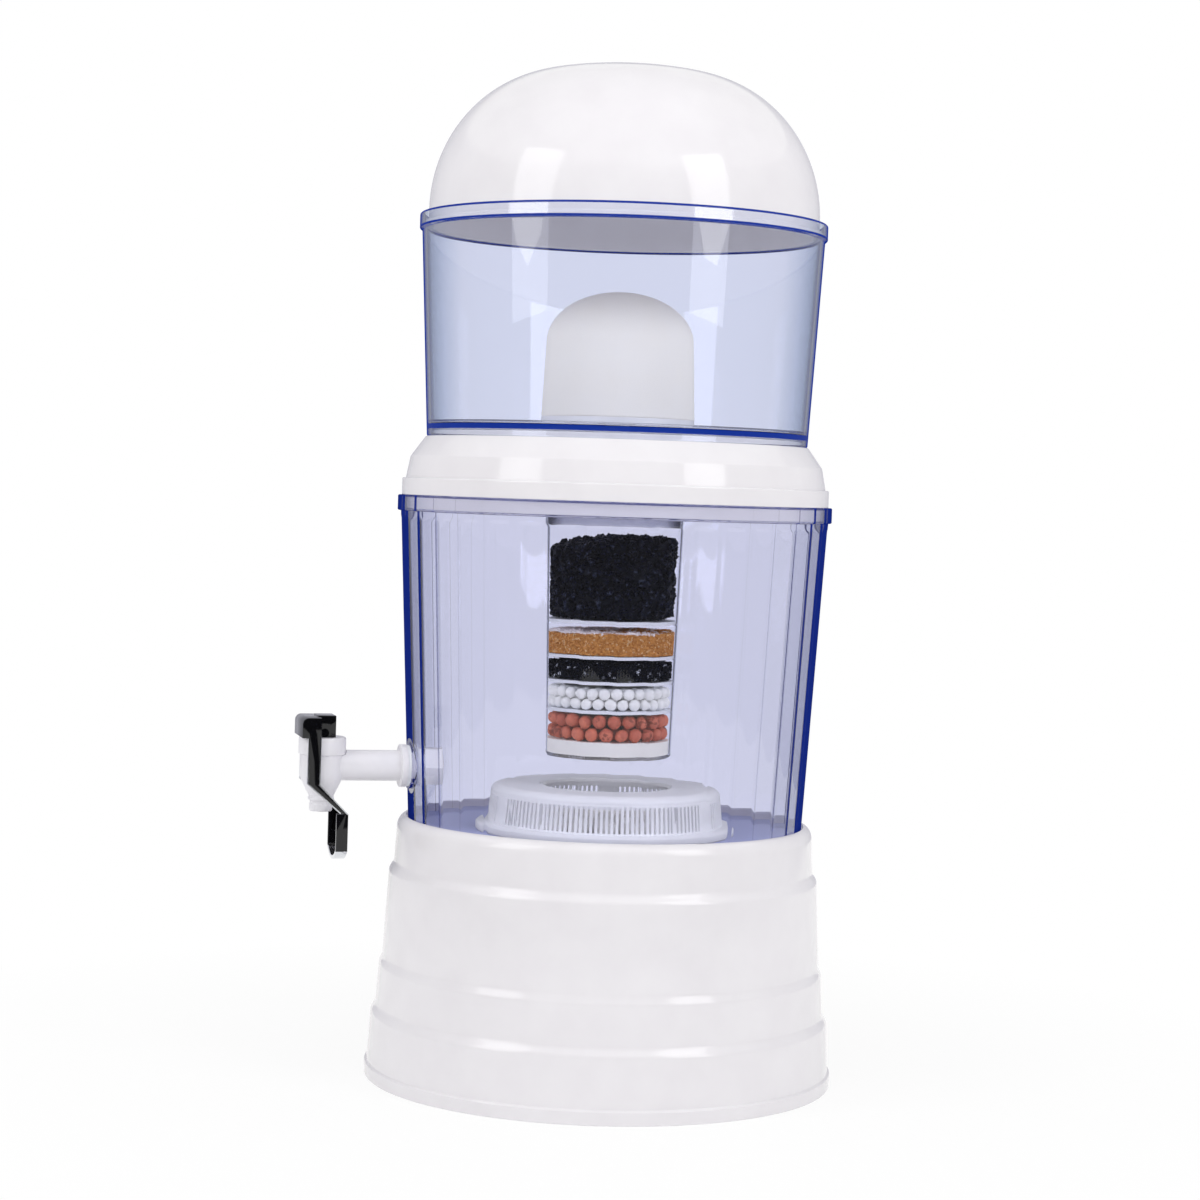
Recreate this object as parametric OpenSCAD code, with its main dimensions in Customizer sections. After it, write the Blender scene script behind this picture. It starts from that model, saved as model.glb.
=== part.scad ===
// Gravity water filter with a tap: a stepped base, a facetted lower tank with a
// push-back tap, a collar, an upper tank with a ceramic dome filter, a hanging
// mineral cartridge and a dome lid. Millimetres, +Z up, tap towards -Y, origin
// at the middle of the foot.

/* [Base] */
// Height of the base, from the foot to the mouth
base_h = 151; // [146:1:180]
// Height of the lowest band, below the first step
base_band1_h = 35.5; // [26:0.5:40]
// Height of the second band
base_band2_h = 21; // [12:0.5:24]
// Height of the third band
base_band3_h = 47.5; // [36:0.5:53]
// Height over which each step draws in
base_step_h = 7; // [5:0.5:8]
// How far the lowest step draws in
base_step1_w = 2.9; // [1:0.1:5]
// How far the middle step draws in
base_step2_w = 1.9; // [1:0.1:5]
// How far the highest step draws in
base_step3_w = 2.9; // [1:0.1:5]
// Draft of the bands, in degrees
base_draft = 3; // [1:0.1:5]
// Wall of the base
base_wall = 2.6; // [2:0.1:3.4]
// How far the thin foot line stands out
base_foot_w = 1; // [0.6:0.1:2]
// Height of the foot line
base_foot_h = 8.5; // [5:0.5:12]
// Width of the rounded lip around the mouth
base_lip_w = 5.6; // [4:0.1:8]
// Height of the lip's rounding
base_lip_h = 7.5; // [4:0.5:9]
// Depth at which the lower tank stands in the mouth
base_seat_depth = 10; // [6:0.5:12]
// Width of the ledge that carries the lower tank
base_ledge_w = 15; // [10:0.5:22]
// Thickness of the ledge
base_ledge_t = 3; // [2.4:0.1:4]
// Number of ribs under the ledge
base_ribs = 8; // [6:1:12]
// Thickness of a rib
base_rib_t = 2; // [1.5:0.1:3]
// Height of a rib, as a share of the wall under the ledge
base_rib_share = 85; // [50:5:95]

/* [Lower tank] */
// Outer radius at the tank's foot
tank_foot_r = 114.9; // [105:0.1:122]
// Height of the lower tank
tank_h = 196.2; // [170:0.1:220]
// Draft of both tanks, in degrees
tank_draft = 2.95; // [2:0.05:4]
// Wall of the lower tank
tank_wall = 2.6; // [2:0.1:3.2]
// Floor of the lower tank
tank_floor_t = 3; // [2.5:0.1:4]
// Number of flat panels around the tank
tank_facets = 40; // [32:4:48]
// Height of the plain band under the lower tank's top edge
tank_band_h = 13; // [11:0.5:20]
// Height of the bead around the lower tank's top edge
tank_rim_h = 9; // [5:0.5:11]
// How far that bead stands out
tank_rim_w = 1.5; // [1:0.1:3]
// Clearance between the lower tank and the base's mouth
tank_clear = 0.5; // [0.3:0.1:1]

/* [Tap] */
// Height of the tap's axis above the tank's foot
tap_height = 40.3; // [30:0.1:60]
// Reach from the tank's outside pad to the valve's axis
tap_reach = 50; // [42:0.5:70]
// Radius of the flat pads on the tank wall
pad_r = 13.3; // [13:0.1:15]
// How far the pads stand proud of the wall
pad_proud = 0.3; // [0.2:0.1:1]
// Radius of the tap's shank
shank_r = 8.8; // [8.5:0.1:10]
// Radius of the shank's threaded end
thread_r = 7.8; // [7.2:0.1:8.2]
// Pitch of the fastening threads
thread_pitch = 2; // [1.5:0.1:3]
// Depth of the fastening threads
thread_depth = 0.6; // [0.3:0.1:0.8]
// Waterway through the shank
shank_bore_r = 5; // [4:0.1:5.4]
// Thickness of the shank's outside flange
flange_t = 3.3; // [2:0.1:5]
// Radius of the outside flange
flange_r = 12.3; // [11:0.1:12.8]
// Thickness of each tap gasket
gasket_t = 1.8; // [1:0.1:3]
// Width of the nut across its flats
nut_flats = 20.4; // [20:0.1:24]
// Length of the nut
nut_l = 11.8; // [6:0.1:14]
// How far the thread shows past the nut
thread_past_nut = 1.6; // [0.5:0.1:4]
// Outer radius of the valve body
valve_r = 12.5; // [12.5:0.1:14]
// Wall of the valve body at its chamber
valve_wall = 2.7; // [2:0.1:2.8]
// Height of the valve's shoulder above the tap's axis
valve_shoulder_h = 6.4; // [6:0.1:8]
// Depth of the valve's chamber floor below the tap's axis
chamber_drop = 7.9; // [6.5:0.1:9]
// Drop from the tap's axis to the end of the spout
spout_drop = 26.2; // [24:0.1:40]
// Outer radius of the spout's end
spout_r = 6.6; // [6:0.1:7]
// Bore of the spout
spout_bore_r = 4.6; // [3:0.1:4.8]
// Height of the bonnet
bonnet_h = 10; // [9:0.1:13]
// How far the bonnet stands out over the valve body
bonnet_over = 1; // [0.5:0.1:2]
// Thickness of the bonnet's top
bonnet_top_t = 3.3; // [2:0.1:4]
// Clearance of the bonnet on the valve's neck
bonnet_clear = 0.1; // [0.05:0.05:0.2]
// Wall of the valve's neck inside the bonnet
neck_wall = 1.8; // [1.5:0.1:2]
// Thickness of the seat cup's rim
cup_rim_t = 1.2; // [0.8:0.1:2]
// Thickness of the seat cup's wall
cup_wall = 1; // [0.8:0.1:1.3]

/* [Valve stem] */
// Radius of the stem
stem_r = 3; // [2.6:0.1:3.2]
// Radius of the stem's foot, under the spring
stem_foot_r = 5.4; // [5:0.1:5.6]
// Thickness of the stem's foot
stem_foot_t = 2; // [1.5:0.1:3]
// Running clearance of the stem and of its pin
run_clear = 0.08; // [0.05:0.01:0.1]
// Height of the lever's pin above the bonnet
pin_rise = 2.7; // [2.5:0.1:3.5]
// Radius of the lever's pin
pin_r = 1.4; // [1:0.1:1.6]
// Radius of the pin's heads
pin_head_r = 2.3; // [1.8:0.1:2.5]
// Thickness of each pin head
pin_head_t = 0.7; // [0.5:0.1:1.2]
// Stem above the pin
stem_top = 4; // [3:0.1:4.4]
// Wire radius of the spring
spring_wire_r = 0.45; // [0.3:0.05:0.5]
// Working turns of the spring
spring_turns = 5; // [3:1:6]

/* [Lever] */
// Overall width of the lever
lever_w = 32.6; // [32:0.1:38]
// Thickness of an arm
arm_t = 2.2; // [1.8:0.1:2.4]
// Height of the head above the pin
head_h = 9.8; // [8:0.1:13]
// Half width of the head's middle block
head_half_w = 8.5; // [7:0.1:10]
// Head behind the pin
head_back = 6.3; // [6:0.1:8]
// Head in front of the pin
head_front = 13.8; // [13:0.1:16]
// Running gap under the head
head_gap = 0.3; // [0.3:0.05:0.5]
// Width of an arm, seen from the side
arm_w = 7.4; // [6:0.1:8]
// Front edge of an arm, in front of the pin
arm_front = 10.4; // [9.5:0.1:11]
// Depth below the pin at which the arms bend back
arm_bend = 28.5; // [24:0.5:32]
// Depth below the pin at which the paddle starts
paddle_top = 45.4; // [42:0.1:50]
// Height of the paddle
paddle_h = 27.4; // [22:0.1:40]
// Depth of the paddle's tray, from its back to its rim
paddle_d = 6.6; // [5:0.1:8]
// Back of the paddle behind the pin
paddle_back = 13.5; // [12:0.1:16]
// Thickness of the paddle's back plate
paddle_t = 2; // [1.5:0.1:3]
// Height of the bright tip
tip_h = 6; // [3:0.5:10]
// Width of the bright edge trims
trim_w = 0.7; // [0.5:0.1:1.2]

/* [Stone case] */
// Radius of the case's wall at the floor
case_r = 69; // [60:0.5:80]
// Draft of the case's wall, in degrees
case_draft = 6; // [3:0.5:8]
// Width of the case's foot flange, outside its wall
case_flange_w = 6; // [4:0.5:12]
// Height of the foot flange
case_flange_h = 5.5; // [4:0.5:6]
// Height of the case's wall
case_wall_h = 22.5; // [18:0.5:28]
// Wall of the case
case_wall = 1.8; // [1.4:0.1:2.4]
// Width of a slot
slot_w = 1.4; // [0.8:0.1:1.6]
// Pitch of the slots
slot_pitch = 3; // [2.6:0.1:4]
// Height of a slot
slot_h = 14.6; // [8:0.1:15]
// Angle of each slotted side, in degrees
slot_sector = 110; // [60:1:112]
// Direction of the first slotted side, in degrees
slot_facing = -16; // [-30:1:30]
// Height of the case's lid
case_lid_h = 4.5; // [3:0.1:8]
// Width of the lid's rounded shoulder
case_lid_round = 6; // [3:0.5:8]
// Radius of the opening in the case's lid
case_opening_r = 38; // [30:0.5:45]
// Clearance of the lid's skirt in the case
case_clear = 0.3; // [0.2:0.05:0.6]
// Diameter of a mineral stone
stone_d = 14; // [11:0.5:15]

/* [Collar] */
// How far the collar stands inside the lower tank's bead
collar_inset = 2.2; // [1:0.1:4]
// Height of the collar's lower band
collar_band1_h = 10; // [6:0.5:14]
// Height of the collar's upper band
collar_band2_h = 12.5; // [8:0.5:16]
// How far the upper band leans in over its height
collar_lean_w = 2.4; // [0.5:0.1:4]
// Width of the step between the bands
collar_step_w = 2; // [1:0.1:3]
// Height of the collar's sloping shoulder
collar_shoulder_h = 12; // [8:0.5:16]
// Wall of the collar
collar_wall = 2.4; // [2:0.1:3.2]
// Depth of the skirt inside the lower tank
collar_skirt_h = 8; // [5:0.5:12]
// Clearance of that skirt
collar_clear = 0.5; // [0.3:0.1:0.8]
// Radius of the collar's opening
collar_opening_r = 97; // [70:1:100]
// Height of the ring that locates the upper tank
locator_h = 3.2; // [2:0.1:4]

/* [Upper tank] */
// Outer radius at the upper tank's foot
upper_foot_r = 110.9; // [107:0.1:113]
// Height of the upper tank
upper_h = 128.3; // [115:0.1:160]
// Wall of the upper tank
upper_wall = 2.5; // [2:0.1:3]
// Depth of the foot skirt under the floor
upper_skirt_h = 4.6; // [4.2:0.1:8]
// Floor of the upper tank
upper_floor_t = 2.5; // [2:0.1:4]
// Clearance of the foot skirt on the collar's locating ring
upper_clear = 0.5; // [0.3:0.1:0.8]
// How far the top bead stands out
upper_rim_w = 1; // [0.6:0.1:2]
// Depth of the recess that takes the lid
upper_rim_h = 8; // [6:0.5:12]
// Wall of the bead around that recess
upper_rim_wall = 2.4; // [2:0.1:2.6]

/* [Dome lid] */
// Height from the lid's foot to the widest line of the dome
lid_side_h = 10.5; // [8:0.5:16]
// Width of the dome's shoulder curve
lid_shoulder_w = 78; // [60:1:100]
// Height of the dome's shoulder curve
lid_shoulder_h = 83; // [60:1:100]
// Where the shoulder passes into the crown, in degrees
lid_crown_a = 11; // [8:1:20]
// Wall of the lid
lid_wall = 2.4; // [2:0.1:3.2]
// Gap between the dome's side and the bead
lid_side_gap = 2.6; // [1.5:0.1:3]
// Height of the lid's foot flange
lid_flange_h = 3; // [2:0.1:5]
// Clearance of that flange in the recess
lid_clear = 0.5; // [0.3:0.1:0.6]

/* [Ceramic filter] */
// Radius of the ceramic dome at its foot
dome_r = 44.7; // [38:0.1:50]
// Height of the dome's straight side
dome_side_h = 44; // [30:1:55]
// Height of its rounded top
dome_top_h = 29.5; // [24:0.5:36]
// How far the side tapers in
dome_taper = 1.8; // [0:0.1:4]
// Wall of the ceramic
dome_wall = 7; // [5:0.5:10]
// Thickness of the plate under the ceramic
plate_t = 4.5; // [3:0.1:6]
// Thickness of the gaskets at the floor
floor_gasket_t = 2; // [1:0.1:3]
// Outer radius of the gaskets at the floor
floor_gasket_r = 19; // [16:0.5:24]
// Radius of the filter's threaded spigot
spigot_r = 7.3; // [6.6:0.1:8]
// Waterway through the spigot
spigot_bore_r = 3.6; // [3:0.1:5]
// How far the spigot hangs under the floor
spigot_l = 28.8; // [22:0.1:32]
// Height of the nut that holds the filter
floor_nut_h = 7.5; // [5:0.1:9]
// Width of that nut across its flats
floor_nut_flats = 25; // [22:0.5:30]
// Clearance of the spigot in the floor
spigot_clear = 0.4; // [0.2:0.1:0.8]

/* [Cartridge] */
// Outer radius of the cartridge at its top
cart_r = 40.5; // [34:0.1:44]
// Draft of the cartridge, in degrees
cart_draft = 1.4; // [0.5:0.1:2]
// Wall of the cartridge
cart_wall = 1.2; // [1:0.1:1.6]
// Floor of the cartridge
cart_floor_t = 2; // [1.5:0.1:3]
// Clear height between the cartridge and the stone case
cart_gap = 17.5; // [8:0.5:24]
// Thickness of the seal between the cap and the spigot's nut
cap_seal_t = 2.5; // [1.5:0.1:3]
// Height of the cap's threaded boss
cap_boss_h = 32; // [28:0.1:36]
// Radius of that boss
cap_boss_r = 11.5; // [10:0.1:14]
// Thickness of the cap's plate
cap_plate_t = 3; // [2:0.1:4]
// How far the cap's plate stands out over the cartridge
cap_over = 2; // [1:0.1:3]
// Depth of the cap's skirt inside the cartridge
cap_skirt_h = 9.3; // [6:0.1:12]
// Clearance of what fits inside the cartridge
cart_clear = 0.25; // [0.2:0.05:0.4]
// Thickness of the ring seal under the cap
ring_seal_t = 1.2; // [0.8:0.1:2]
// Drain holes' radius
drain_r = 1.4; // [1:0.1:2]

/* [Filter beds] */
// Height of the white pad at the bottom
pad_h = 8; // [5:0.5:12]
// Diameter of a red mineral ball
red_d = 8.3; // [7:0.1:9]
// Diameter of a white mineral ball
white_d = 7.4; // [6.4:0.1:8]
// Height of the black mineral bed
black_h = 12; // [8:0.5:16]
// Height of the sand bed
sand_h = 14.6; // [8:0.5:18]
// Empty height above the sand
sand_free = 3.8; // [1:0.1:8]
// Empty height above the carbon
carbon_free = 2.4; // [1:0.1:10]
// How far the carbon is heaped over its edge
carbon_heap = 7; // [3:0.5:10]
// Thickness of a separator
sep_t = 1.8; // [1.2:0.1:3]
// How far the holding beads stand in from the cartridge's wall
bead_w = 0.6; // [0.4:0.05:0.8]

/* [Hidden] */
$fn = 120;

// a cut that has to pass a face runs this far beyond it
cut = 1;
// curved outlines are drawn with this many straight pieces
curve_steps = 14;

draft = tan(tank_draft);

// lower tank and the mouth that takes it
tank_z = base_h - base_seat_depth;
tank_top_z = tank_z + tank_h;
function tank_r(z) = tank_foot_r + (z - tank_z) * draft;
tank_top_r = tank_r(tank_top_z);
tank_floor_z = tank_z + tank_floor_t;
mouth_r = tank_r(base_h) + tank_clear;

// radii of the base's bands, from the mouth down
base_slope = tan(base_draft);
base_band4_h = base_h - base_band1_h - base_band2_h - base_band3_h - 3 * base_step_h;
band4_top_r = mouth_r + base_lip_w;
band4_foot_r = band4_top_r + (base_band4_h - base_lip_h) * base_slope;
band3_top_r = band4_foot_r + base_step3_w;
band3_foot_r = band3_top_r + base_band3_h * base_slope;
band2_top_r = band3_foot_r + base_step2_w;
band2_foot_r = band2_top_r + base_band2_h * base_slope;
band1_top_r = band2_foot_r + base_step1_w;
band1_foot_r = band1_top_r + base_band1_h * base_slope;
band2_z = base_band1_h + base_step_h;
band3_z = band2_z + base_band2_h + base_step_h;
band4_z = band3_z + base_band3_h + base_step_h;
ledge_under_z = tank_z - base_ledge_t;
ledge_r = mouth_r - base_ledge_w;
rib_h = (ledge_under_z - band4_z) * base_rib_share / 100;
function band4_r(z) = band4_foot_r - (z - band4_z) * base_slope;

// tap
tap_z = tank_z + tap_height;
pad_out = tank_r(tap_z + pad_r) + pad_proud;
pad_low_r = tank_r(tap_z - pad_r) - tank_wall;
pad_in = sqrt(pad_low_r * pad_low_r - pad_r * pad_r) - pad_proud;
valve_y = pad_out + tap_reach;
flange_y = pad_out + gasket_t;
nut_y = pad_in - gasket_t - nut_l;
thread_end_y = nut_y - thread_past_nut;
thread_clear = 0.05;
shoulder_z = tap_z + valve_shoulder_h;
bonnet_top_z = shoulder_z + bonnet_h;
bonnet_under_z = bonnet_top_z - bonnet_top_t;
bonnet_r = valve_r + bonnet_over;
neck_top_z = bonnet_under_z - cup_rim_t;
chamber_z = tap_z - chamber_drop;
chamber_r = valve_r - valve_wall;
neck_r = chamber_r + neck_wall;
seat_rise = 1;
seat_z = chamber_z + seat_rise;
spout_z = tap_z - spout_drop;

// seat cup, stem and spring
cup_gap = 0.7;
cup_r = chamber_r - cup_gap;
cup_floor_t = 1.8;
cup_foot_r = spout_bore_r + 2.2;
stem_z = seat_z + cup_floor_t;
spring_z = stem_z + stem_foot_t;
spring_r = stem_foot_r - spring_wire_r - 0.5;
spring_slack = 0.05;
pin_z = bonnet_top_z + pin_rise;
stem_hole_r = pin_r + run_clear;

// lever, measured from its pin
head_under = head_gap - pin_rise;
head_slot_u = 4.8;
head_slot_gap = 0.3;
head_slot_top = stem_top + 1.4;
bar_drop = 0.8;
bar_back = arm_front - arm_w;
paddle_front = paddle_d - paddle_back;
arm_foot_w = 4.6;
tip_z = -paddle_top - paddle_h;

// stone case
case_flange_r = case_r + case_flange_w;
case_top_z = tank_floor_z + case_wall_h;
case_top_r = case_r - case_wall_h * tan(case_draft);
case_floor_t = 2;
slot_z = tank_floor_z + case_flange_h + 0.8;
case_lid_top_z = case_top_z + case_lid_h;
case_lid_t = 2;
case_skirt_h = 3;

// collar
collar_r = tank_top_r + tank_rim_w - collar_inset;
collar_upper_r = collar_r - collar_step_w;
collar_shoulder_r = collar_upper_r - collar_lean_w;
collar_h = collar_band1_h + collar_band2_h + collar_shoulder_h;
collar_top_z = tank_top_z + collar_h;
collar_lip = 0.4;
collar_edge = 1.2;
collar_top_r = upper_foot_r + collar_lip;
collar_deck_t = 2.6;
skirt_low_z = tank_top_z - collar_skirt_h;
collar_skirt_r = tank_r(skirt_low_z) - tank_wall - collar_clear;

// upper tank
upper_top_z = collar_top_z + upper_h;
function upper_r(z) = upper_foot_r + (z - collar_top_z) * draft;
upper_under_z = collar_top_z + upper_skirt_h;
upper_floor_z = upper_under_z + upper_floor_t;
upper_ledge_z = upper_top_z - upper_rim_h;
upper_rim_r = upper_r(upper_top_z) + upper_rim_w;
upper_recess_r = upper_rim_r - upper_rim_wall;
upper_skirt_in_r = upper_foot_r - upper_wall;
locator_r = upper_skirt_in_r - upper_clear;
locator_t = 2;

// lid
lid_flange_r = upper_recess_r - lid_clear;
lid_side_r = upper_recess_r - lid_side_gap;
lid_wide_z = upper_ledge_z + lid_side_h;

// ceramic filter, from the floor of the upper tank
plate_z = upper_floor_z + floor_gasket_t;
dome_z = plate_z + plate_t;
floor_hole_r = spigot_r + spigot_clear;
floor_nut_z = upper_under_z - floor_gasket_t - floor_nut_h;
spigot_z = upper_under_z - spigot_l;

// cartridge, hung under the filter's nut
cap_top_z = floor_nut_z - cap_seal_t;
cap_plate_z = cap_top_z - cap_boss_h;
cart_top_z = cap_plate_z - ring_seal_t;
cart_z = case_lid_top_z + cart_gap;
cart_floor_z = cart_z + cart_floor_t;
function cart_out_r(z) = cart_r - (cart_top_z - z) * tan(cart_draft);
function cart_in_r(z) = cart_out_r(z) - cart_wall;
function bed_r(z) = cart_in_r(z) - cart_clear;
cap_skirt_z = cap_plate_z - cap_skirt_h;
cap_skirt_t = 1.8;

// beds, from the cartridge's floor up; each separator rests on a bead of the wall
ball_gap = 0.15;
row_rise = 0.87;
bead_h = 0.9;
function rows_h(d) = d + (d + ball_gap) * row_rise + bead_h;
red_z = cart_floor_z + pad_h;
sep_red_z = red_z + rows_h(red_d);
white_z = sep_red_z + sep_t;
sep_white_z = white_z + rows_h(white_d);
black_z = sep_white_z + sep_t;
sep_black_z = black_z + black_h + bead_h;
sand_z = sep_black_z + sep_t;
sep_sand_z = sand_z + sand_h + sand_free;
carbon_z = sep_sand_z + sep_t;
carbon_edge_z = cap_skirt_z - carbon_free - carbon_heap;
sep_places = [sep_red_z, sep_white_z, sep_black_z, sep_sand_z];

function backwards(list) = [for (i = [len(list) - 1:-1:0]) list[i]];

// a point of a polyline moved sideways by d, mitred at its corners
function unit(v) = v / norm(v);
function side(v) = [-v[1], v[0]];
function mitre(path, i, d) =
    let (before = unit(path[max(i, 1)] - path[max(i, 1) - 1]),
         after = unit(path[min(i + 1, len(path) - 1)] - path[min(i + 1, len(path) - 1) - 1]))
    path[i] + d * (side(before) + side(after)) / (1 + before * after);
function moved(path, d) = [for (i = [0:len(path) - 1]) mitre(path, i, d)];

// one step of the base, from a lower radius to an upper one
function step_curve(z, r_low, r_high) =
    [for (i = [0:curve_steps])
        let (t = i / curve_steps)
        [r_low + (r_high - r_low) * (1 - cos(180 * t)) / 2, z + base_step_h * t]];

// the base's bands and steps, drawn in by a wall
function base_curve(inset) =
    concat(
        [[band1_foot_r - inset, 0]],
        step_curve(base_band1_h, band1_top_r - inset, band2_foot_r - inset),
        step_curve(band2_z + base_band2_h, band2_top_r - inset, band3_foot_r - inset),
        step_curve(band3_z + base_band3_h, band3_top_r - inset, band4_foot_r - inset));

function quarter(r0, z0, w, h) =
    [for (i = [0:curve_steps])
        let (a = 90 * i / curve_steps)
        [r0 + w * cos(a), z0 + h * sin(a)]];

// the dome: a shoulder curve that runs into a flatter crown
function dome_curve(inset) =
    let (w = lid_shoulder_w - inset,
         h = lid_shoulder_h - inset,
         mid_r = lid_side_r - lid_shoulder_w,
         join_r = mid_r + w * sin(lid_crown_a),
         join_z = lid_wide_z + h * cos(lid_crown_a),
         slope_a = atan(h / w * tan(lid_crown_a)),
         crown_r = join_r / sin(slope_a))
    concat(
        [for (i = [0:2 * curve_steps])
            let (a = 90 + (lid_crown_a - 90) * i / (2 * curve_steps))
            [mid_r + w * sin(a), lid_wide_z + h * cos(a)]],
        [for (i = [1:6])
            let (a = slope_a * (1 - i / 6))
            [crown_r * sin(a), join_z + crown_r * (cos(a) - cos(slope_a))]]);

// the ceramic's outline, drawn in by a wall
function ceramic_curve(inset) =
    concat(
        [[dome_r - inset, dome_z]],
        quarter(0, dome_z + dome_side_h, dome_r - dome_taper - inset, dome_top_h - inset));

module ring(z0, z1, r_in, r_out) {
    rotate_extrude() translate([r_in, z0]) square([r_out - r_in, z1 - z0]);
}

// children stand along the tap: their +Z runs outwards from the given reach
module along_tap(reach) {
    translate([0, -reach, tap_z]) rotate([90, 0, 0]) children();
}

module at_valve() {
    translate([0, -valve_y, 0]) children();
}

// a flat shape in the lever's side view, x outwards and y up from the pin
module side_plate(from, thick) {
    translate([from, -valve_y, pin_z]) mirror([0, 1, 0]) rotate([90, 0, 90])
        linear_extrude(thick) children();
}

// a flat shape in the lever's front view, from one distance behind the pin to the next
module front_plate(from, thick) {
    translate([0, -valve_y - from, pin_z]) rotate([90, 0, 0]) linear_extrude(thick) children();
}

// the ridges of a fastening thread, as a profile for turning
module thread_profile(length, r) {
    ridges = floor(length / thread_pitch);
    polygon(concat(
        [[0, 0]],
        [for (i = [0:ridges - 1]) each [
            [r - thread_depth, i * thread_pitch],
            [r, (i + 0.4) * thread_pitch],
            [r, (i + 0.6) * thread_pitch]]],
        [[r - thread_depth, ridges * thread_pitch], [r - thread_depth, length], [0, length]]));
}

// one coil of wire, swept as a closed tube, with its end turns wound close
module coil(z0, z1, r, wire_r, turns) {
    per_turn = 18;
    sides = 8;
    all_turns = turns + 2;
    rings = all_turns * per_turn;
    pitch_free = (z1 - z0 - 6 * wire_r) / turns;
    function rise(t) = t < 1 ? 2 * wire_r * t
        : t > turns + 1 ? 2 * wire_r + turns * pitch_free + 2 * wire_r * (t - turns - 1)
        : 2 * wire_r + (t - 1) * pitch_free;
    points = [for (i = [0:rings], k = [0:sides - 1])
        let (t = i / per_turn, a = 360 * t, b = 360 * k / sides,
             reach = r + wire_r * cos(b))
        [reach * cos(a), reach * sin(a), z0 + wire_r + rise(t) + wire_r * sin(b)]];
    walls = [for (i = [0:rings - 1], k = [0:sides - 1])
        let (n = (k + 1) % sides)
        [i * sides + k, (i + 1) * sides + k, (i + 1) * sides + n, i * sides + n]];
    polyhedron(points, concat(walls,
        [[for (k = [0:sides - 1]) k]],
        [[for (k = [sides - 1:-1:0]) rings * sides + k]]));
}

// balls laid in rings on a floor, a second row nested on the first
module ball_rows(z, d, r, rows) {
    pitch = d + ball_gap;
    outer = r - d / 2;
    for (row = [0:rows - 1], k = [0:floor(outer / pitch)]) {
        ring_r = outer - k * pitch;
        count = ring_r < pitch / 2 ? 1 : floor(180 / asin(pitch / 2 / ring_r));
        place_r = count == 1 ? 0 : ring_r;
        if (count > 1 || row == 0)
            for (i = [0:count - 1])
                rotate(360 * (i + row / 2) / count)
                    translate([place_r, 0, z + d / 2 + row * pitch * row_rise])
                        sphere(d = d, $fn = 24);
    }
}

// a filling of the cartridge between two heights
module bed(z0, z1) {
    rotate_extrude() polygon([[0, z0], [bed_r(z0), z0], [bed_r(z1), z1], [0, z1]]);
}

// a separator: a disc with a grid of water holes
module separator(z) {
    hole_r = 1.1;
    color("whitesmoke") difference() {
        bed(z, z + sep_t);
        for (k = [1:3])
            for (i = [0:6 * k - 1])
                rotate(60 * i / k) translate([k * 9, 0, z - cut])
                    cylinder(h = sep_t + 2 * cut, r = hole_r, $fn = 16);
    }
}

// stepped stand, open underneath, with a mouth and a ribbed ledge for the tank
module stand_base() {
    color("white") {
        rotate_extrude() polygon(concat(
            [[band1_foot_r - base_wall, 0],
             [band1_foot_r + base_foot_w, 0],
             [band1_foot_r + base_foot_w, base_foot_h - base_foot_w],
             [band1_foot_r - base_foot_h * base_slope, base_foot_h]],
            [for (p = base_curve(0)) if (p[1] > base_foot_h) p],
            quarter(mouth_r, base_h - base_lip_h, base_lip_w, base_lip_h),
            [[mouth_r, tank_z], [ledge_r, tank_z], [ledge_r, ledge_under_z],
             [band4_r(ledge_under_z) - base_wall, ledge_under_z]],
            [for (p = backwards(base_curve(base_wall))) if (p[1] > 0) p]));
        for (i = [0:base_ribs - 1])
            rotate(360 * (i + 0.5) / base_ribs) rotate([90, 0, 0])
                linear_extrude(base_rib_t, center = true) polygon([
                    [ledge_r + 1, ledge_under_z + base_ledge_t / 2],
                    [ledge_r + 1, ledge_under_z - rib_h / 3],
                    [band4_r(ledge_under_z - rib_h) - base_wall - 1, ledge_under_z - rib_h],
                    [band4_r(ledge_under_z - rib_h) - base_wall / 2, ledge_under_z - rib_h],
                    [band4_r(tank_z) - base_wall / 2, ledge_under_z + base_ledge_t / 2]]);
    }
}

// facetted lower tank with flat pads and a hole for the tap
module lower_tank() {
    panel_top_z = tank_top_z - tank_band_h;
    // the corners of the panels lie just inside the plain band, which overlaps them
    panel_in = 0.1;
    join = 1;
    panel_r = tank_foot_r - panel_in;
    inner_pad_r = pad_r - 0.4;
    color("slateblue", 0.4) difference() {
        union() {
            translate([0, 0, tank_z]) rotate(180 / tank_facets)
                linear_extrude(panel_top_z - tank_z,
                    scale = (tank_r(panel_top_z) - panel_in) / panel_r)
                    circle(panel_r, $fn = tank_facets);
            translate([0, 0, panel_top_z - join])
                cylinder(h = tank_band_h + join, r1 = tank_r(panel_top_z - join), r2 = tank_top_r);
            translate([0, 0, tank_top_z - tank_rim_h])
                cylinder(h = tank_rim_h, r = tank_top_r + tank_rim_w);
            along_tap(pad_in + join) cylinder(h = pad_out - pad_in - join, r = pad_r);
        }
        difference() {
            translate([0, 0, tank_floor_z])
                cylinder(h = tank_top_z - tank_floor_z + cut,
                    r1 = tank_r(tank_floor_z) - tank_wall,
                    r2 = tank_r(tank_top_z + cut) - tank_wall);
            along_tap(pad_in) cylinder(h = pad_out - pad_in - join, r = inner_pad_r);
        }
        along_tap(pad_in - cut) cylinder(h = pad_out - pad_in + 2 * cut, r = thread_r + 0.3);
    }
}

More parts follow.
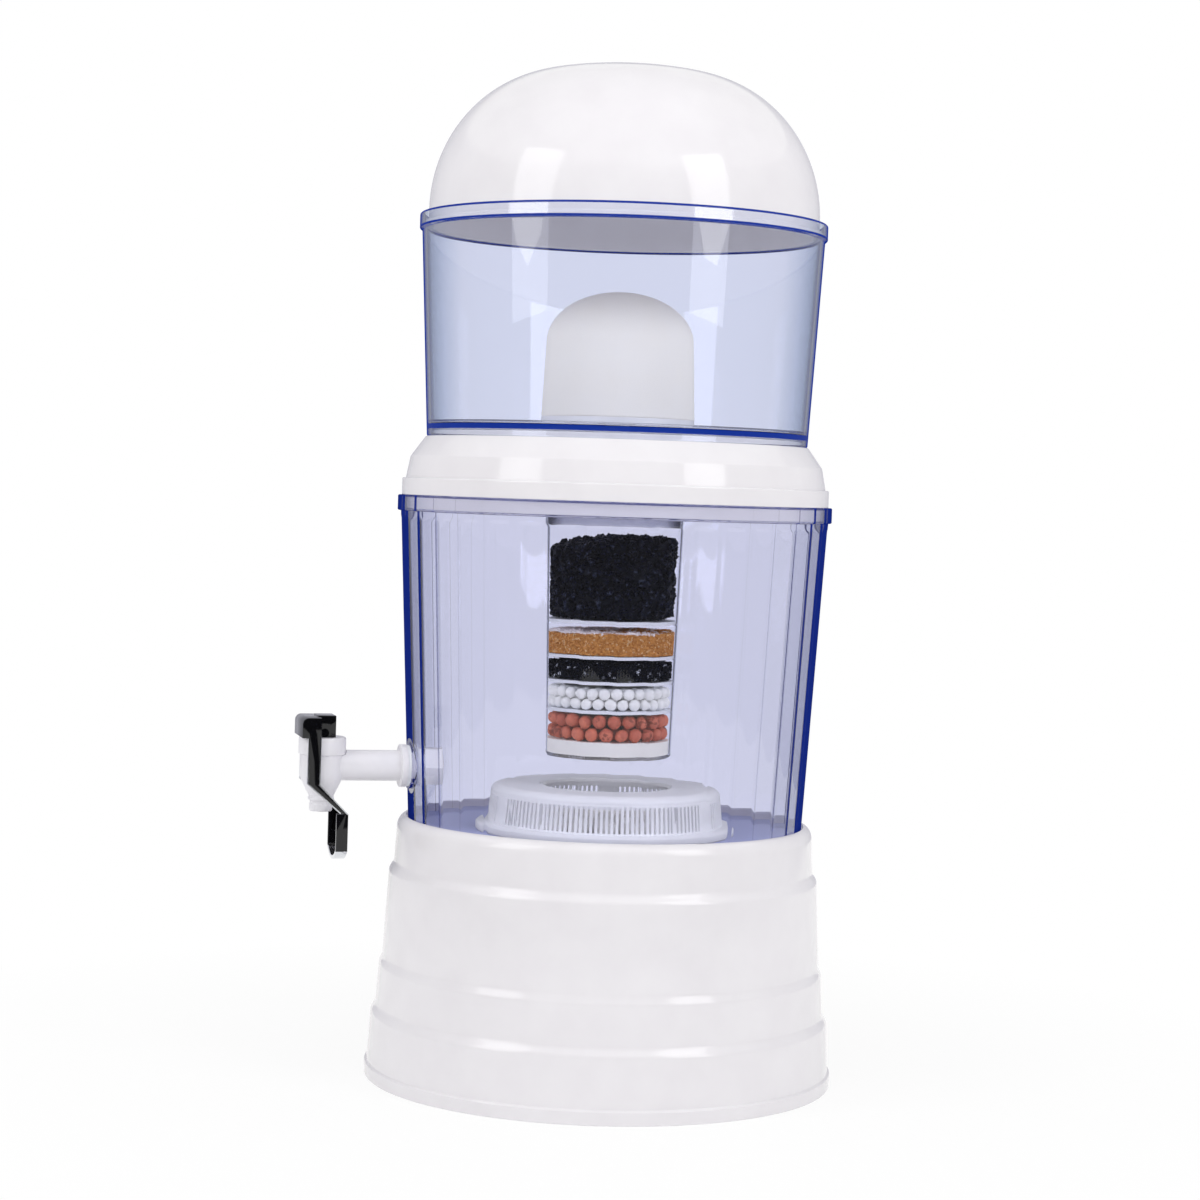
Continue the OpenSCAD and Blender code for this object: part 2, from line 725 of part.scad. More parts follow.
// valve body, spout and shank in one moulding
module tap_body() {
    bead_r = spout_r + 0.9;
    groove_r = spout_r - 0.3;
    cone_z = tap_z - 6.4;
    // the shank is cut away round the bonnet
    bonnet_room = 0.4;
    color("whitesmoke") difference() {
        union() {
            along_tap(thread_end_y) rotate_extrude()
                thread_profile(flange_y + flange_t / 2 - thread_end_y, thread_r);
            along_tap(flange_y) cylinder(h = flange_t, r = flange_r);
            difference() {
                along_tap(flange_y) cylinder(h = valve_y - flange_y, r = shank_r);
                at_valve() translate([0, 0, shoulder_z])
                    cylinder(h = shank_r, r = bonnet_r + bonnet_room);
            }
            at_valve() rotate_extrude() polygon([
                [0, spout_z], [spout_r - 0.5, spout_z], [spout_r, spout_z + 0.5],
                [spout_r, spout_z + 4.1], [groove_r, spout_z + 4.5],
                [groove_r, spout_z + 6], [bead_r, spout_z + 6.6],
                [bead_r, spout_z + 8], [bead_r - 0.4, spout_z + 8.6],
                [valve_r, cone_z], [valve_r, shoulder_z],
                [neck_r, shoulder_z], [neck_r, neck_top_z], [0, neck_top_z]]);
        }
        along_tap(thread_end_y - cut)
            cylinder(h = valve_y - thread_end_y + cut, r = shank_bore_r);
        at_valve() {
            rotate_extrude() polygon([
                [0, spout_z - cut], [spout_bore_r, spout_z - cut], [spout_bore_r, seat_z],
                [spout_bore_r + 1.6, seat_z], [spout_bore_r + 2, chamber_z],
                [chamber_r, chamber_z], [chamber_r, neck_top_z + cut],
                [0, neck_top_z + cut]]);
        }
    }
}

// silicone washer between the shank's flange and the tank
module tap_gasket_outer() {
    color("gainsboro") along_tap(pad_out) difference() {
        cylinder(h = gasket_t, r = flange_r - 0.5);
        translate([0, 0, -cut]) cylinder(h = gasket_t + 2 * cut, r = thread_r + 0.1);
    }
}

// silicone washer inside the tank
module tap_gasket_inner() {
    color("gainsboro") along_tap(pad_in - gasket_t) difference() {
        cylinder(h = gasket_t, r = nut_flats / 2);
        translate([0, 0, -cut]) cylinder(h = gasket_t + 2 * cut, r = thread_r + 0.1);
    }
}

// nut that pulls the tap against the wall
module tap_nut() {
    color("white") along_tap(nut_y) difference() {
        cylinder(h = nut_l, r = nut_flats / 2 / cos(30), $fn = 6);
        translate([0, 0, -cut])
            cylinder(h = nut_l + 2 * cut, r = thread_r + thread_clear);
    }
}

// screwed cap over the valve
module tap_bonnet() {
    chamfer = 0.6;
    color("whitesmoke") at_valve() difference() {
        rotate_extrude() polygon([
            [0, shoulder_z], [bonnet_r, shoulder_z], [bonnet_r, bonnet_top_z - chamfer],
            [bonnet_r - chamfer, bonnet_top_z], [0, bonnet_top_z]]);
        translate([0, 0, shoulder_z - cut])
            cylinder(h = bonnet_under_z - shoulder_z + cut, r = neck_r + bonnet_clear);
        translate([0, 0, bonnet_under_z - cut])
            cylinder(h = bonnet_top_t + 2 * cut, r = stem_r + run_clear);
    }
}

// silicone cup that closes the seat and keeps the spring dry
module seat_cup() {
    color("lightgray") at_valve() rotate_extrude() polygon([
        [0, seat_z], [cup_foot_r, seat_z], [cup_r - 0.4, seat_z + 3],
        [cup_r, neck_top_z], [neck_r - 0.2, neck_top_z], [neck_r - 0.2, bonnet_under_z],
        [cup_r - cup_wall, bonnet_under_z], [cup_r - cup_wall - 0.4, seat_z + 3.3],
        [stem_foot_r + 0.2, stem_z], [0, stem_z]]);
}

// steel spring that closes the valve
module valve_spring() {
    color("silver") at_valve()
        coil(spring_z + spring_slack, bonnet_under_z - spring_slack, spring_r,
            spring_wire_r, spring_turns);
}

// stem with a foot for the spring and a cross hole for the pin
module valve_stem() {
    color("whitesmoke") at_valve() difference() {
        union() {
            translate([0, 0, stem_z]) cylinder(h = stem_foot_t, r = stem_foot_r);
            translate([0, 0, stem_z]) cylinder(h = pin_z + stem_top - stem_z, r = stem_r);
        }
        translate([-stem_r - cut, 0, pin_z]) rotate([0, 90, 0])
            cylinder(h = 2 * (stem_r + cut), r = stem_hole_r);
    }
}

// headed pin that joins the lever to the stem
module lever_pin() {
    color("silver") translate([0, -valve_y, pin_z]) rotate([0, 90, 0]) {
        cylinder(h = 2 * head_half_w, r = pin_r, center = true);
        for (s = [-1, 1])
            translate([0, 0, s * (head_half_w + pin_head_t / 2)])
                cylinder(h = pin_head_t, r = pin_head_r, center = true);
    }
}

// edges of an arm in side view, from the head down to the paddle
function arm_front_edge(top) = [
    [arm_front, top],
    [arm_front, -arm_bend],
    [arm_foot_w - paddle_back, -paddle_top]];
function arm_back_edge(top) = [
    [arm_front - arm_w, top],
    [arm_front - arm_w, -arm_bend - 0.4],
    [-paddle_back, -paddle_top]];

// the paddle in front view with its curved lower edge, drawn in by its rim
module paddle_face(inset) {
    half_w = lever_w / 2 - inset;
    tip_r = (lever_w * lever_w / 4 + tip_h * tip_h) / (2 * tip_h);
    intersection() {
        translate([0, tip_z + tip_r]) circle(tip_r - inset);
        translate([-half_w, tip_z])
            square([2 * half_w, paddle_h + (inset > 0 ? cut : 0)]);
    }
}

// the whole tray-shaped paddle, from which handle and tip are cut
module paddle() {
    difference() {
        front_plate(-paddle_back, paddle_d) paddle_face(0);
        front_plate(paddle_t - paddle_back, paddle_d) paddle_face(arm_t);
    }
}

module below_tip_line(cover) {
    translate([-lever_w, -valve_y, pin_z + tip_z - cut])
        translate([0, -lever_w, 0]) cube([2 * lever_w, 2 * lever_w, tip_h + cut + cover]);
}

// black handle: head, two arms and the paddle
module tap_lever() {
    bar_round = 3.5;
    color("black") difference() {
        union() {
            side_plate(-head_half_w, 2 * head_half_w)
                translate([-head_back, head_under])
                    square([head_back + bar_back + cut, head_h - head_under]);
            side_plate(-lever_w / 2, lever_w) difference() {
                translate([bar_back, head_under])
                    square([head_front - bar_back, head_h - bar_drop - head_under]);
                translate([head_front - bar_round, head_h - bar_drop - bar_round])
                    difference() {
                        square(2 * bar_round);
                        circle(bar_round);
                    }
            }
            for (s = [-lever_w / 2, lever_w / 2 - arm_t])
                side_plate(s, arm_t)
                    polygon(concat(
                        moved(arm_front_edge(head_h - bar_drop), -trim_w),
                        backwards(moved(arm_back_edge(head_h - bar_drop), trim_w))));
            difference() {
                paddle();
                below_tip_line(0);
            }
        }
        // slot and hole for the stem and its pin
        side_plate(-stem_r - head_slot_gap, 2 * (stem_r + head_slot_gap))
            translate([-head_slot_u, head_under - cut])
                square([2 * head_slot_u, head_slot_top - head_under + cut]);
        translate([-lever_w, -valve_y, pin_z]) rotate([0, 90, 0])
            cylinder(h = 2 * lever_w, r = pin_r);
        lever_trim_solids();
    }
}

module lever_trim_solids() {
    for (s = [-lever_w / 2, lever_w / 2 - arm_t])
        side_plate(s, arm_t) {
            polygon(concat(
                arm_front_edge(head_under),
                backwards(moved(arm_front_edge(head_under), -trim_w))));
            polygon(concat(
                arm_back_edge(head_under),
                backwards(moved(arm_back_edge(head_under), trim_w))));
        }
}

// bright strips along the edges of both arms
module lever_trim() {
    color("silver") lever_trim_solids();
}

// bright tip of the paddle
module lever_tip() {
    color("silver") intersection() {
        paddle();
        below_tip_line(0);
    }
}

// slotted case that stands on the tank's floor
module stone_case() {
    slots = floor(slot_sector * PI / 180 * case_r / slot_pitch);
    color("white") difference() {
        rotate_extrude() polygon([
            [0, tank_floor_z], [case_flange_r - 0.8, tank_floor_z],
            [case_flange_r, tank_floor_z + 0.8],
            [case_flange_r, tank_floor_z + case_flange_h - 1.5],
            [case_flange_r - 1.5, tank_floor_z + case_flange_h],
            [case_r - case_flange_h * tan(case_draft), tank_floor_z + case_flange_h],
            [case_top_r, case_top_z], [case_top_r - case_wall, case_top_z],
            [case_r - case_wall - case_floor_t * tan(case_draft),
             tank_floor_z + case_floor_t],
            [0, tank_floor_z + case_floor_t]]);
        for (sector = [0:2], i = [0:slots - 1])
            rotate(slot_facing + 120 * sector + slot_sector * ((i + 0.5) / slots - 0.5))
                translate([case_top_r - 2 * case_wall, -slot_w / 2, slot_z])
                    cube([case_flange_r - case_top_r + 2 * case_wall, slot_w,
                        min(slot_h, case_top_z - slot_z - 1)]);
    }
}

// cover of the case, with the opening for the stones
module stone_case_lid() {
    skirt_r = case_top_r - case_wall - case_clear;
    color("white") rotate_extrude() polygon(concat(
        [[skirt_r - 1.4, case_top_z - case_skirt_h], [skirt_r, case_top_z - case_skirt_h],
         [skirt_r, case_top_z]],
        quarter(case_top_r - case_lid_round, case_top_z, case_lid_round, case_lid_h),
        [[case_opening_r + 0.6, case_lid_top_z], [case_opening_r, case_lid_top_z - 0.6],
         [case_opening_r, case_lid_top_z - case_lid_t],
         [case_top_r - case_lid_round, case_lid_top_z - case_lid_t],
         [skirt_r - 1.4, case_top_z + 0.5]]));
}

// round mineral stones that lie on the case's floor
module mineral_stones() {
    color("dimgray")
        ball_rows(tank_floor_z + case_floor_t, stone_d,
            case_r - case_wall - (case_floor_t + stone_d) * tan(case_draft) - 0.3, 1);
}

// white ring that covers the lower tank and carries the upper one
module collar() {
    under_z = collar_top_z - collar_deck_t;
    shoulder_z = collar_top_z - collar_shoulder_h;
    band_lean = collar_lean_w / collar_band2_h;
    slope_lean = (collar_shoulder_r - collar_top_r) / collar_shoulder_h;
    color("white") rotate_extrude() polygon([
        [collar_skirt_r - 1.8, skirt_low_z], [collar_skirt_r, skirt_low_z],
        [collar_skirt_r, tank_top_z], [collar_r, tank_top_z],
        [collar_r, tank_top_z + collar_band1_h - 0.6],
        [collar_r - 0.6, tank_top_z + collar_band1_h],
        [collar_upper_r, tank_top_z + collar_band1_h],
        [collar_shoulder_r + collar_edge * band_lean, shoulder_z - collar_edge],
        [collar_shoulder_r - collar_edge * slope_lean, shoulder_z + collar_edge],
        [collar_top_r, collar_top_z],
        [locator_r, collar_top_z], [locator_r, collar_top_z + locator_h],
        [locator_r - locator_t, collar_top_z + locator_h],
        [locator_r - locator_t, collar_top_z],
        [collar_opening_r, collar_top_z], [collar_opening_r, under_z],
        [collar_top_r - collar_wall / 2, under_z],
        [collar_shoulder_r - collar_wall, shoulder_z - collar_edge],
        [collar_upper_r - collar_wall, tank_top_z + collar_wall],
        [collar_skirt_r - 1.8, tank_top_z + collar_wall]]);
}

// round upper tank with a recess for the lid
module upper_tank() {
    color("cornflowerblue", 0.4) difference() {
        rotate_extrude() polygon([
            [0, upper_under_z],
            [upper_skirt_in_r, upper_under_z], [upper_skirt_in_r, collar_top_z],
            [upper_foot_r, collar_top_z],
            [upper_r(upper_ledge_z - 1), upper_ledge_z - 1],
            [upper_rim_r, upper_ledge_z], [upper_rim_r, upper_top_z],
            [upper_recess_r, upper_top_z], [upper_recess_r, upper_ledge_z],
            [upper_r(upper_ledge_z) - upper_wall, upper_ledge_z],
            [upper_r(upper_floor_z) - upper_wall, upper_floor_z],
            [0, upper_floor_z]]);
        translate([0, 0, upper_under_z - cut])
            cylinder(h = upper_floor_t + 2 * cut, r = floor_hole_r);
    }
}

// porous ceramic shell
module ceramic_dome() {
    color("ivory") rotate_extrude() polygon(concat(
        ceramic_curve(0),
        backwards(ceramic_curve(dome_wall))));
}

// plate under the ceramic, with its hollow threaded spigot
module dome_plate() {
    color("white") difference() {
        union() {
            translate([0, 0, plate_z]) cylinder(h = plate_t, r = dome_r);
            translate([0, 0, spigot_z]) rotate_extrude()
                thread_profile(plate_z - spigot_z + cut, spigot_r);
        }
        translate([0, 0, spigot_z - cut])
            cylinder(h = dome_z - spigot_z + 2 * cut, r = spigot_bore_r);
    }
}

module floor_gasket(z) {
    color("lightgray") ring(z, z + floor_gasket_t, floor_hole_r, floor_gasket_r);
}

module floor_gasket_top() {
    floor_gasket(upper_floor_z);
}

module floor_gasket_under() {
    floor_gasket(upper_under_z - floor_gasket_t);
}

// nut that holds the filter to the floor
module floor_nut() {
    color("white") translate([0, 0, floor_nut_z]) difference() {
        cylinder(h = floor_nut_h, r = floor_nut_flats / 2 / cos(30), $fn = 6);
        translate([0, 0, -cut])
            cylinder(h = floor_nut_h + 2 * cut, r = spigot_r + thread_clear);
    }
}

// ring between the nut and the cartridge's boss
module cap_seal() {
    color("lightgray") ring(cap_top_z, floor_nut_z, spigot_r + 0.2, cap_boss_r - 0.5);
}

// cap that screws on the spigot and closes the cartridge
module cartridge_cap() {
    plate_r = cart_r + cap_over;
    skirt_r = cart_in_r(cap_skirt_z) - cart_clear;
    vent_r = 1.6;
    color("gainsboro", 0.7) difference() {
        rotate_extrude() polygon([
            [0, cap_plate_z], [skirt_r - cap_skirt_t, cap_plate_z],
            [skirt_r - cap_skirt_t, cap_skirt_z], [skirt_r, cap_skirt_z],
            [skirt_r, cap_plate_z], [plate_r, cap_plate_z],
            [plate_r, cap_plate_z + cap_plate_t],
            [cap_boss_r + 5, cap_plate_z + cap_plate_t],
            [cap_boss_r, cap_plate_z + cap_plate_t + 5],
            [cap_boss_r, cap_top_z], [0, cap_top_z]]);
        translate([0, 0, spigot_z])
            cylinder(h = cap_top_z - spigot_z + cut, r = spigot_r + thread_clear);
        translate([0, 0, cap_plate_z - cut])
            cylinder(h = cap_boss_h, r = spigot_bore_r);
        for (i = [0:5])
            rotate(60 * i) translate([cart_r - 9, 0, cap_plate_z - cut])
                cylinder(h = cap_plate_t + 2 * cut, r = vent_r, $fn = 24);
    }
}

// ring under the cap's plate
module ring_seal() {
    color("lightgray") ring(cart_top_z, cap_plate_z, cart_r - cart_wall, cart_r);
}

// clear tapered case with a drained floor and beads that hold the separators
module cartridge_case() {
    color("aliceblue", 0.3) difference() {
        rotate_extrude() polygon(concat(
            [[0, cart_z], [cart_out_r(cart_z) - 1, cart_z],
             [cart_out_r(cart_z + 1), cart_z + 1], [cart_r, cart_top_z],
             [cart_in_r(cart_top_z), cart_top_z]],
            [for (z = backwards(sep_places)) each [
                [cart_in_r(z), z], [cart_in_r(z) - bead_w, z],
                [cart_in_r(z - bead_h), z - bead_h]]],
            [[cart_in_r(cart_floor_z), cart_floor_z], [0, cart_floor_z]]));
        for (k = [1:4])
            for (i = [0:6 * k - 1])
                rotate(60 * i / k) translate([k * 7.5, 0, cart_z - cut])
                    cylinder(h = cart_floor_t + 2 * cut, r = drain_r, $fn = 16);
    }
}

module bottom_pad() {
    color("ivory") bed(cart_floor_z, red_z);
}

module red_balls() {
    color("indianred") ball_rows(red_z, red_d, bed_r(red_z), 2);
}

module separator_red() {
    separator(sep_red_z);
}

module white_balls() {
    color("white") ball_rows(white_z, white_d, bed_r(white_z), 2);
}

module separator_white() {
    separator(sep_white_z);
}

module black_bed() {
    color("darkslategray") bed(black_z, black_z + black_h);
}

module separator_black() {
    separator(sep_black_z);
}

module sand_bed() {
    color("peru") bed(sand_z, sand_z + sand_h);
}

module separator_sand() {
    separator(sep_sand_z);
}

// carbon grains, heaped a little to one side
module carbon_bed() {
    heap_r = (bed_r(carbon_z) * bed_r(carbon_z) / carbon_heap + carbon_heap) / 2;
    top_z = carbon_edge_z + carbon_heap;
    color("black") intersection() {
        bed(carbon_z, top_z);
        translate([0, 5, top_z - heap_r]) sphere(heap_r);
    }
}

// white dome over the upper tank
module dome_lid() {
    color("white") rotate_extrude() polygon(concat(
        [[lid_side_r - lid_wall, upper_ledge_z], [lid_flange_r, upper_ledge_z],
         [lid_flange_r, upper_ledge_z + lid_flange_h - 0.5],
         [lid_flange_r - 0.5, upper_ledge_z + lid_flange_h],
         [lid_side_r, upper_ledge_z + lid_flange_h]],
        dome_curve(0),
        backwards(dome_curve(lid_wall))));
}

stand_base();
lower_tank();
tap_body();
tap_gasket_outer();
tap_gasket_inner();
tap_nut();
tap_bonnet();
seat_cup();
valve_spring();
valve_stem();
lever_pin();
tap_lever();
lever_trim();
lever_tip();
stone_case();
stone_case_lid();
mineral_stones();
collar();
upper_tank();
ceramic_dome();
dome_plate();
floor_gasket_top();
floor_gasket_under();
floor_nut();
cap_seal();
cartridge_cap();
ring_seal();
cartridge_case();
bottom_pad();
red_balls();
separator_red();
white_balls();
separator_white();
black_bed();
separator_black();
sand_bed();
separator_sand();
carbon_bed();
dome_lid();
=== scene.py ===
import math
import random
from functools import partial

import bmesh
import bpy
from mathutils import Matrix, Vector


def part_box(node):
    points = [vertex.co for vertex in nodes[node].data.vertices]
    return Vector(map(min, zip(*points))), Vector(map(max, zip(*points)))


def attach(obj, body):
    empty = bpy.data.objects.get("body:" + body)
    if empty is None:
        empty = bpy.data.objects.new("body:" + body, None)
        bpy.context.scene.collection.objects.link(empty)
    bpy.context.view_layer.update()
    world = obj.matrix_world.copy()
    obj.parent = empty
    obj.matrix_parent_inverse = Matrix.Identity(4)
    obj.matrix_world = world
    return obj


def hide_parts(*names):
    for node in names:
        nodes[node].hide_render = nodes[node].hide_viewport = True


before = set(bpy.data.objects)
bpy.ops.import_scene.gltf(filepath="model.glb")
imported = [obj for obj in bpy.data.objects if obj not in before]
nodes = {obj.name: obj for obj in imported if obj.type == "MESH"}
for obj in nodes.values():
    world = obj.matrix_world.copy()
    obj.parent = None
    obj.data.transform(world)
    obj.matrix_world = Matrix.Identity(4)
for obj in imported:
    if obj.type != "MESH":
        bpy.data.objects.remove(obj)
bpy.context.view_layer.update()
scene = bpy.context.scene
mm = 0.001
white = (1, 1, 1, 1)
print("frame loaded:", len(nodes), "solids")


# small tools
def hexColour(text):
    # sRGB hex to the linear colour that the shaders take
    parts = [int(text[i:i + 2], 16) / 255 for i in (1, 3, 5)]
    parts = [c / 12.92 if c <= 0.04045 else ((c + 0.055) / 1.055) ** 2.4 for c in parts]
    return (*parts, 1.0)


def addNode(tree, kind, feeds=None, operation=None, **settings):
    # a kind with no prefix is a shader node's; a feed is a value, a socket, or a node, which
    # gives the first output that is in use
    node = tree.nodes.new(kind if "Node" in kind else "ShaderNode" + kind)
    if operation:
        node.operation = operation
    for key, value in settings.items():
        setattr(node, key, value)
    for key, value in (feeds or {}).items():
        if isinstance(value, bpy.types.Node):
            value = next(socket for socket in value.outputs if socket.enabled)
        if isinstance(value, bpy.types.NodeSocket):
            tree.links.new(value, node.inputs[key])
        else:
            node.inputs[key].default_value = value
    return node


def newMaterial(name):
    # an empty material, what adds its nodes, and the place on the piece
    material = bpy.data.materials.new(name)
    material.use_nodes = True
    material.node_tree.nodes.clear()
    add = partial(addNode, material.node_tree)
    return material, add, add("TexCoord").outputs["Object"]


def mottled(add, place, dark, light, size, detail, **noise):
    # a colour that wanders over patches of size mm, and the pattern that it follows
    pattern = add("TexNoise", {
        "Vector": place, "Scale": 1 / (size * mm), "Detail": detail, **noise})
    return pattern, add("Mix", {
        0: pattern, 6: hexColour(dark), 7: hexColour(light)}, data_type="RGBA")


def skinOf(add, place, size, depth, detail, **more):
    # a fine pattern of size mm, and the bump that it makes, depth mm deep
    fine = add("TexNoise", {"Vector": place, "Scale": 1 / (size * mm), "Detail": detail, **more})
    return fine, add("Bump", {"Height": fine, "Distance": depth * mm})


def finished(material, add, colour, roughness, skin, more):
    shader = add("BsdfPrincipled", {
        "Base Color": colour, "Roughness": roughness, "Normal": skin, **more})
    add("OutputMaterial", {"Surface": shader})
    return material


# materials
def mouldedPlastic(name, light, dark, roughness=0.10, ripple=0.03, grain=22, mirror=0.5):
    # injection moulded ABS: even colour, clear gloss, a very slight ripple in its reflections;
    # grain is the width of the ripple in mm, ripple its depth, mirror how much it reflects
    material, add, place = newMaterial(name)
    mottle, colour = mottled(add, place, dark, light, grain, 3.0)
    wave = add("Bump", {"Height": mottle, "Distance": ripple * mm})
    fine = add("TexNoise", {"Vector": place, "Scale": 1 / (1.1 * mm), "Detail": 2.0})
    skin = add("Bump", {"Height": fine, "Distance": 0.004 * mm, "Normal": wave})
    return finished(material, add, colour, roughness, skin, {
        "IOR": 1.54, "Specular IOR Level": mirror})


def clearPlastic(name, face, edge, shadeSeam, absorbed, density, roughness=0.0, ior=1.42, start=0.42,
                 full=1.2, crisp=(0.84, 0.94), within=0.0, lines=(), panels=0, clearSpot=None,
                 paintedFoot=None):
    # clear moulded SAN: pale straight on (face), bluer where it is seen along its wall (edge),
    # and, as painted shade, an opaque dark colour (shadeSeam) painted in thin lines at the
    # outline, the rims and the panel corners, standing in for the dark that the clear wall shows
    # there; within is the radius inside which nothing is tinted or painted, lines are heights,
    # half widths and strengths, all in mm, of painted dark lines, panels is the count of flat
    # panels, whose corners get painted dark lines too, and clearSpot is a place and a radius,
    # in mm, where the wall is a plain flat pad with neither; paintedFoot is the height under
    # which a pale colour is painted over the tank's floor as painted light, standing in for the
    # light and reflections seen there, how much, and the colour of that
    material, add, place = newMaterial(name)
    wave = skinOf(add, place, 30, 0.01, 2.0)[1]
    lean = add("LayerWeight", {"Blend": 0.5}).outputs["Facing"]
    x, y, z = add("SeparateXYZ", {0: place}).outputs
    flat = add("CombineXYZ", {"X": x, "Y": y})
    reach = add("VectorMath", {0: flat}, "LENGTH")
    onWall = add("Math", {0: reach, 1: within * mm}, "GREATER_THAN")
    if clearSpot:
        away = add("VectorMath", {0: place, 1: tuple(c * mm for c in clearSpot[:3])}, "DISTANCE")
        offPad = add("Math", {0: away, 1: clearSpot[3] * mm}, "GREATER_THAN")
        onWall = add("Math", {0: onWall, 1: offPad}, "MULTIPLY")
    along = add("MapRange", {"Value": lean, "From Min": start, "From Max": full})
    gathered = add("Math", {0: along, 1: onWall}, "MULTIPLY")
    # painted shade: the outline is painted with the dark colour where the wall turns away from the
    # view
    dark = add("MapRange", {"Value": lean, "From Min": crisp[0], "From Max": crisp[1]})
    for height, half, share in lines:
        near = add("Math", {0: z, 1: height * mm, 2: half * mm}, "COMPARE")
        held = add("Math", {0: near, 1: share}, "MULTIPLY")
        dark = add("Math", {0: dark, 1: held}, "MAXIMUM")
    if panels:
        angle = add("Math", {0: x, 1: y}, "ARCTAN2")
        share = add("Math", {0: angle, 1: panels / (2 * math.pi), 2: 0.5}, "MULTIPLY_ADD")
        inPanel = add("Math", {0: share}, "FRACT")
        fromCorner = add("Math", {0: inPanel, 1: 1.0}, "PINGPONG")
        # painted shade: a corner's painted dark line shows wider and darker as its panels turn away
        width = add("MapRange", {
            "Value": lean, "From Min": 0.45, "From Max": 0.85, "To Min": 0.03, "To Max": 0.36})
        near = add("Math", {0: fromCorner, 1: width}, "LESS_THAN")
        aside = add("Math", {0: lean, 1: 1 / 0.62}, "MULTIPLY")
        deep = add("Math", {0: aside, 1: 3.0}, "POWER", use_clamp=True)
        held = add("Math", {0: near, 1: deep}, "MULTIPLY")
        dark = add("Math", {0: dark, 1: held}, "MAXIMUM")
    dark = add("Math", {0: dark, 1: onWall}, "MULTIPLY")
    colour = add("Mix", {0: gathered, 6: hexColour(face), 7: hexColour(edge)}, data_type="RGBA")
    glass = add("BsdfPrincipled", {
        "Base Color": colour, "Roughness": roughness, "IOR": ior,
        "Transmission Weight": 1.0, "Normal": wave})
    # painted shade: an opaque dark colour laid over the glass in the painted lines
    paintedShade = add("BsdfDiffuse", {"Color": hexColour(shadeSeam)})
    shader = add("MixShader", {0: dark, 1: glass, 2: paintedShade})
    # painted light: under the given height a pale flat colour is laid over the tank's floor,
    # standing in for the light and reflections seen there
    if paintedFoot:
        low = add("Math", {0: z, 1: paintedFoot[0] * mm}, "LESS_THAN")
        paintedShare = add("Math", {0: low, 1: paintedFoot[1]}, "MULTIPLY")
        paintedLight = add("BsdfDiffuse", {"Color": hexColour(paintedFoot[2])})
        shader = add("MixShader", {0: paintedShare, 1: shader, 2: paintedLight})
    # lamps and the room's light reach what stands behind the wall
    path = add("LightPath").outputs
    clear = add("BsdfTransparent", {"Color": white})
    room = add("MixShader", {0: path["Is Diffuse Ray"], 1: shader, 2: clear})
    lamps = add("MixShader", {0: path["Is Shadow Ray"], 1: room, 2: clear})
    inside = add("VolumeAbsorption", {"Color": hexColour(absorbed), "Density": density})
    add("OutputMaterial", {"Surface": lamps, "Volume": inside})
    return material


def milkyPlastic(name, light, dark, roughness=0.4, glow=0.06, ior=1.49):
    # natural polypropylene: milky, light goes a little way in
    material, add, place = newMaterial(name)
    colour = mottled(add, place, dark, light, 14, 3.0)[1]
    skin = skinOf(add, place, 0.8, 0.02, 2.0)[1]
    shader = add("BsdfPrincipled", {
        "Base Color": colour, "Roughness": roughness, "IOR": ior, "Subsurface Weight": glow,
        "Subsurface Radius": (1.0, 1.0, 1.1), "Subsurface Scale": 2.5 * mm, "Normal": skin})
    # most of a lamp's light goes on through the thin wall
    clear = add("BsdfTransparent", {"Color": white})
    thin = add("MixShader", {0: 0.7, 1: shader, 2: clear})
    lamps = add("MixShader", {0: add("LightPath").outputs["Is Shadow Ray"], 1: shader, 2: thin})
    add("OutputMaterial", {"Surface": lamps})
    return material


def firedCeramic(name, light, dark, pores=0.9, depth=0.12, roughness=0.82):
    # porous ceramic: chalky, fine grain all over and faint broad mottling; pores in mm
    material, add, place = newMaterial(name)
    colour = mottled(add, place, dark, light, 18, 4.0, Roughness=0.6)[1]
    skin = skinOf(add, place, pores, depth, 3.0, Roughness=0.7)[1]
    return finished(material, add, colour, roughness, skin, {"IOR": 1.5})


def mineral(name, dark, light, speckAndGlint, cells=2.0, roughness=0.45, depth=0.2, speckAndGlintShare=0.72,
            mirror=0.4):
    # broken or rolled mineral: each grain, cells mm across, has its own tone, and patches on a
    # few of them take the speck colour: real specks on most minerals, and on the carbon a
    # painted glint standing in for the light that its faces catch
    material, add, place = newMaterial(name)
    grains = add("TexVoronoi", {"Vector": place, "Scale": 1 / (cells * mm)})
    fine, skin = skinOf(add, place, 0.35 * cells, depth, 3.0, Roughness=0.6)
    own = add("SeparateColor", {0: grains.outputs["Color"]}).outputs
    body = add("Mix", {0: own[0], 6: hexColour(dark), 7: hexColour(light)}, data_type="RGBA")
    # real specks, and on the carbon a painted glint: a few cells and patches take the speck colour
    bright = add("Math", {0: own[1], 1: speckAndGlintShare}, "GREATER_THAN")
    patch = add("Math", {0: fine, 1: 0.52}, "GREATER_THAN")
    both = add("Math", {0: bright, 1: patch}, "MULTIPLY")
    colour = add("Mix", {0: both, 6: body.outputs[2], 7: hexColour(speckAndGlint)}, data_type="RGBA")
    return finished(material, add, colour, roughness, skin, {
        "IOR": 1.52, "Specular IOR Level": mirror})


def brightMetal(name, colour, roughness, drawn):
    # plated or drawn metal: bright, with fine lines drawn mm apart
    material, add, place = newMaterial(name)
    fine, skin = skinOf(add, place, drawn, 0.003, 2.0)
    polish = add("MapRange", {"Value": fine, "To Min": roughness * 0.7, "To Max": roughness * 1.4})
    return finished(material, add, hexColour(colour), polish, skin, {"Metallic": 1.0})


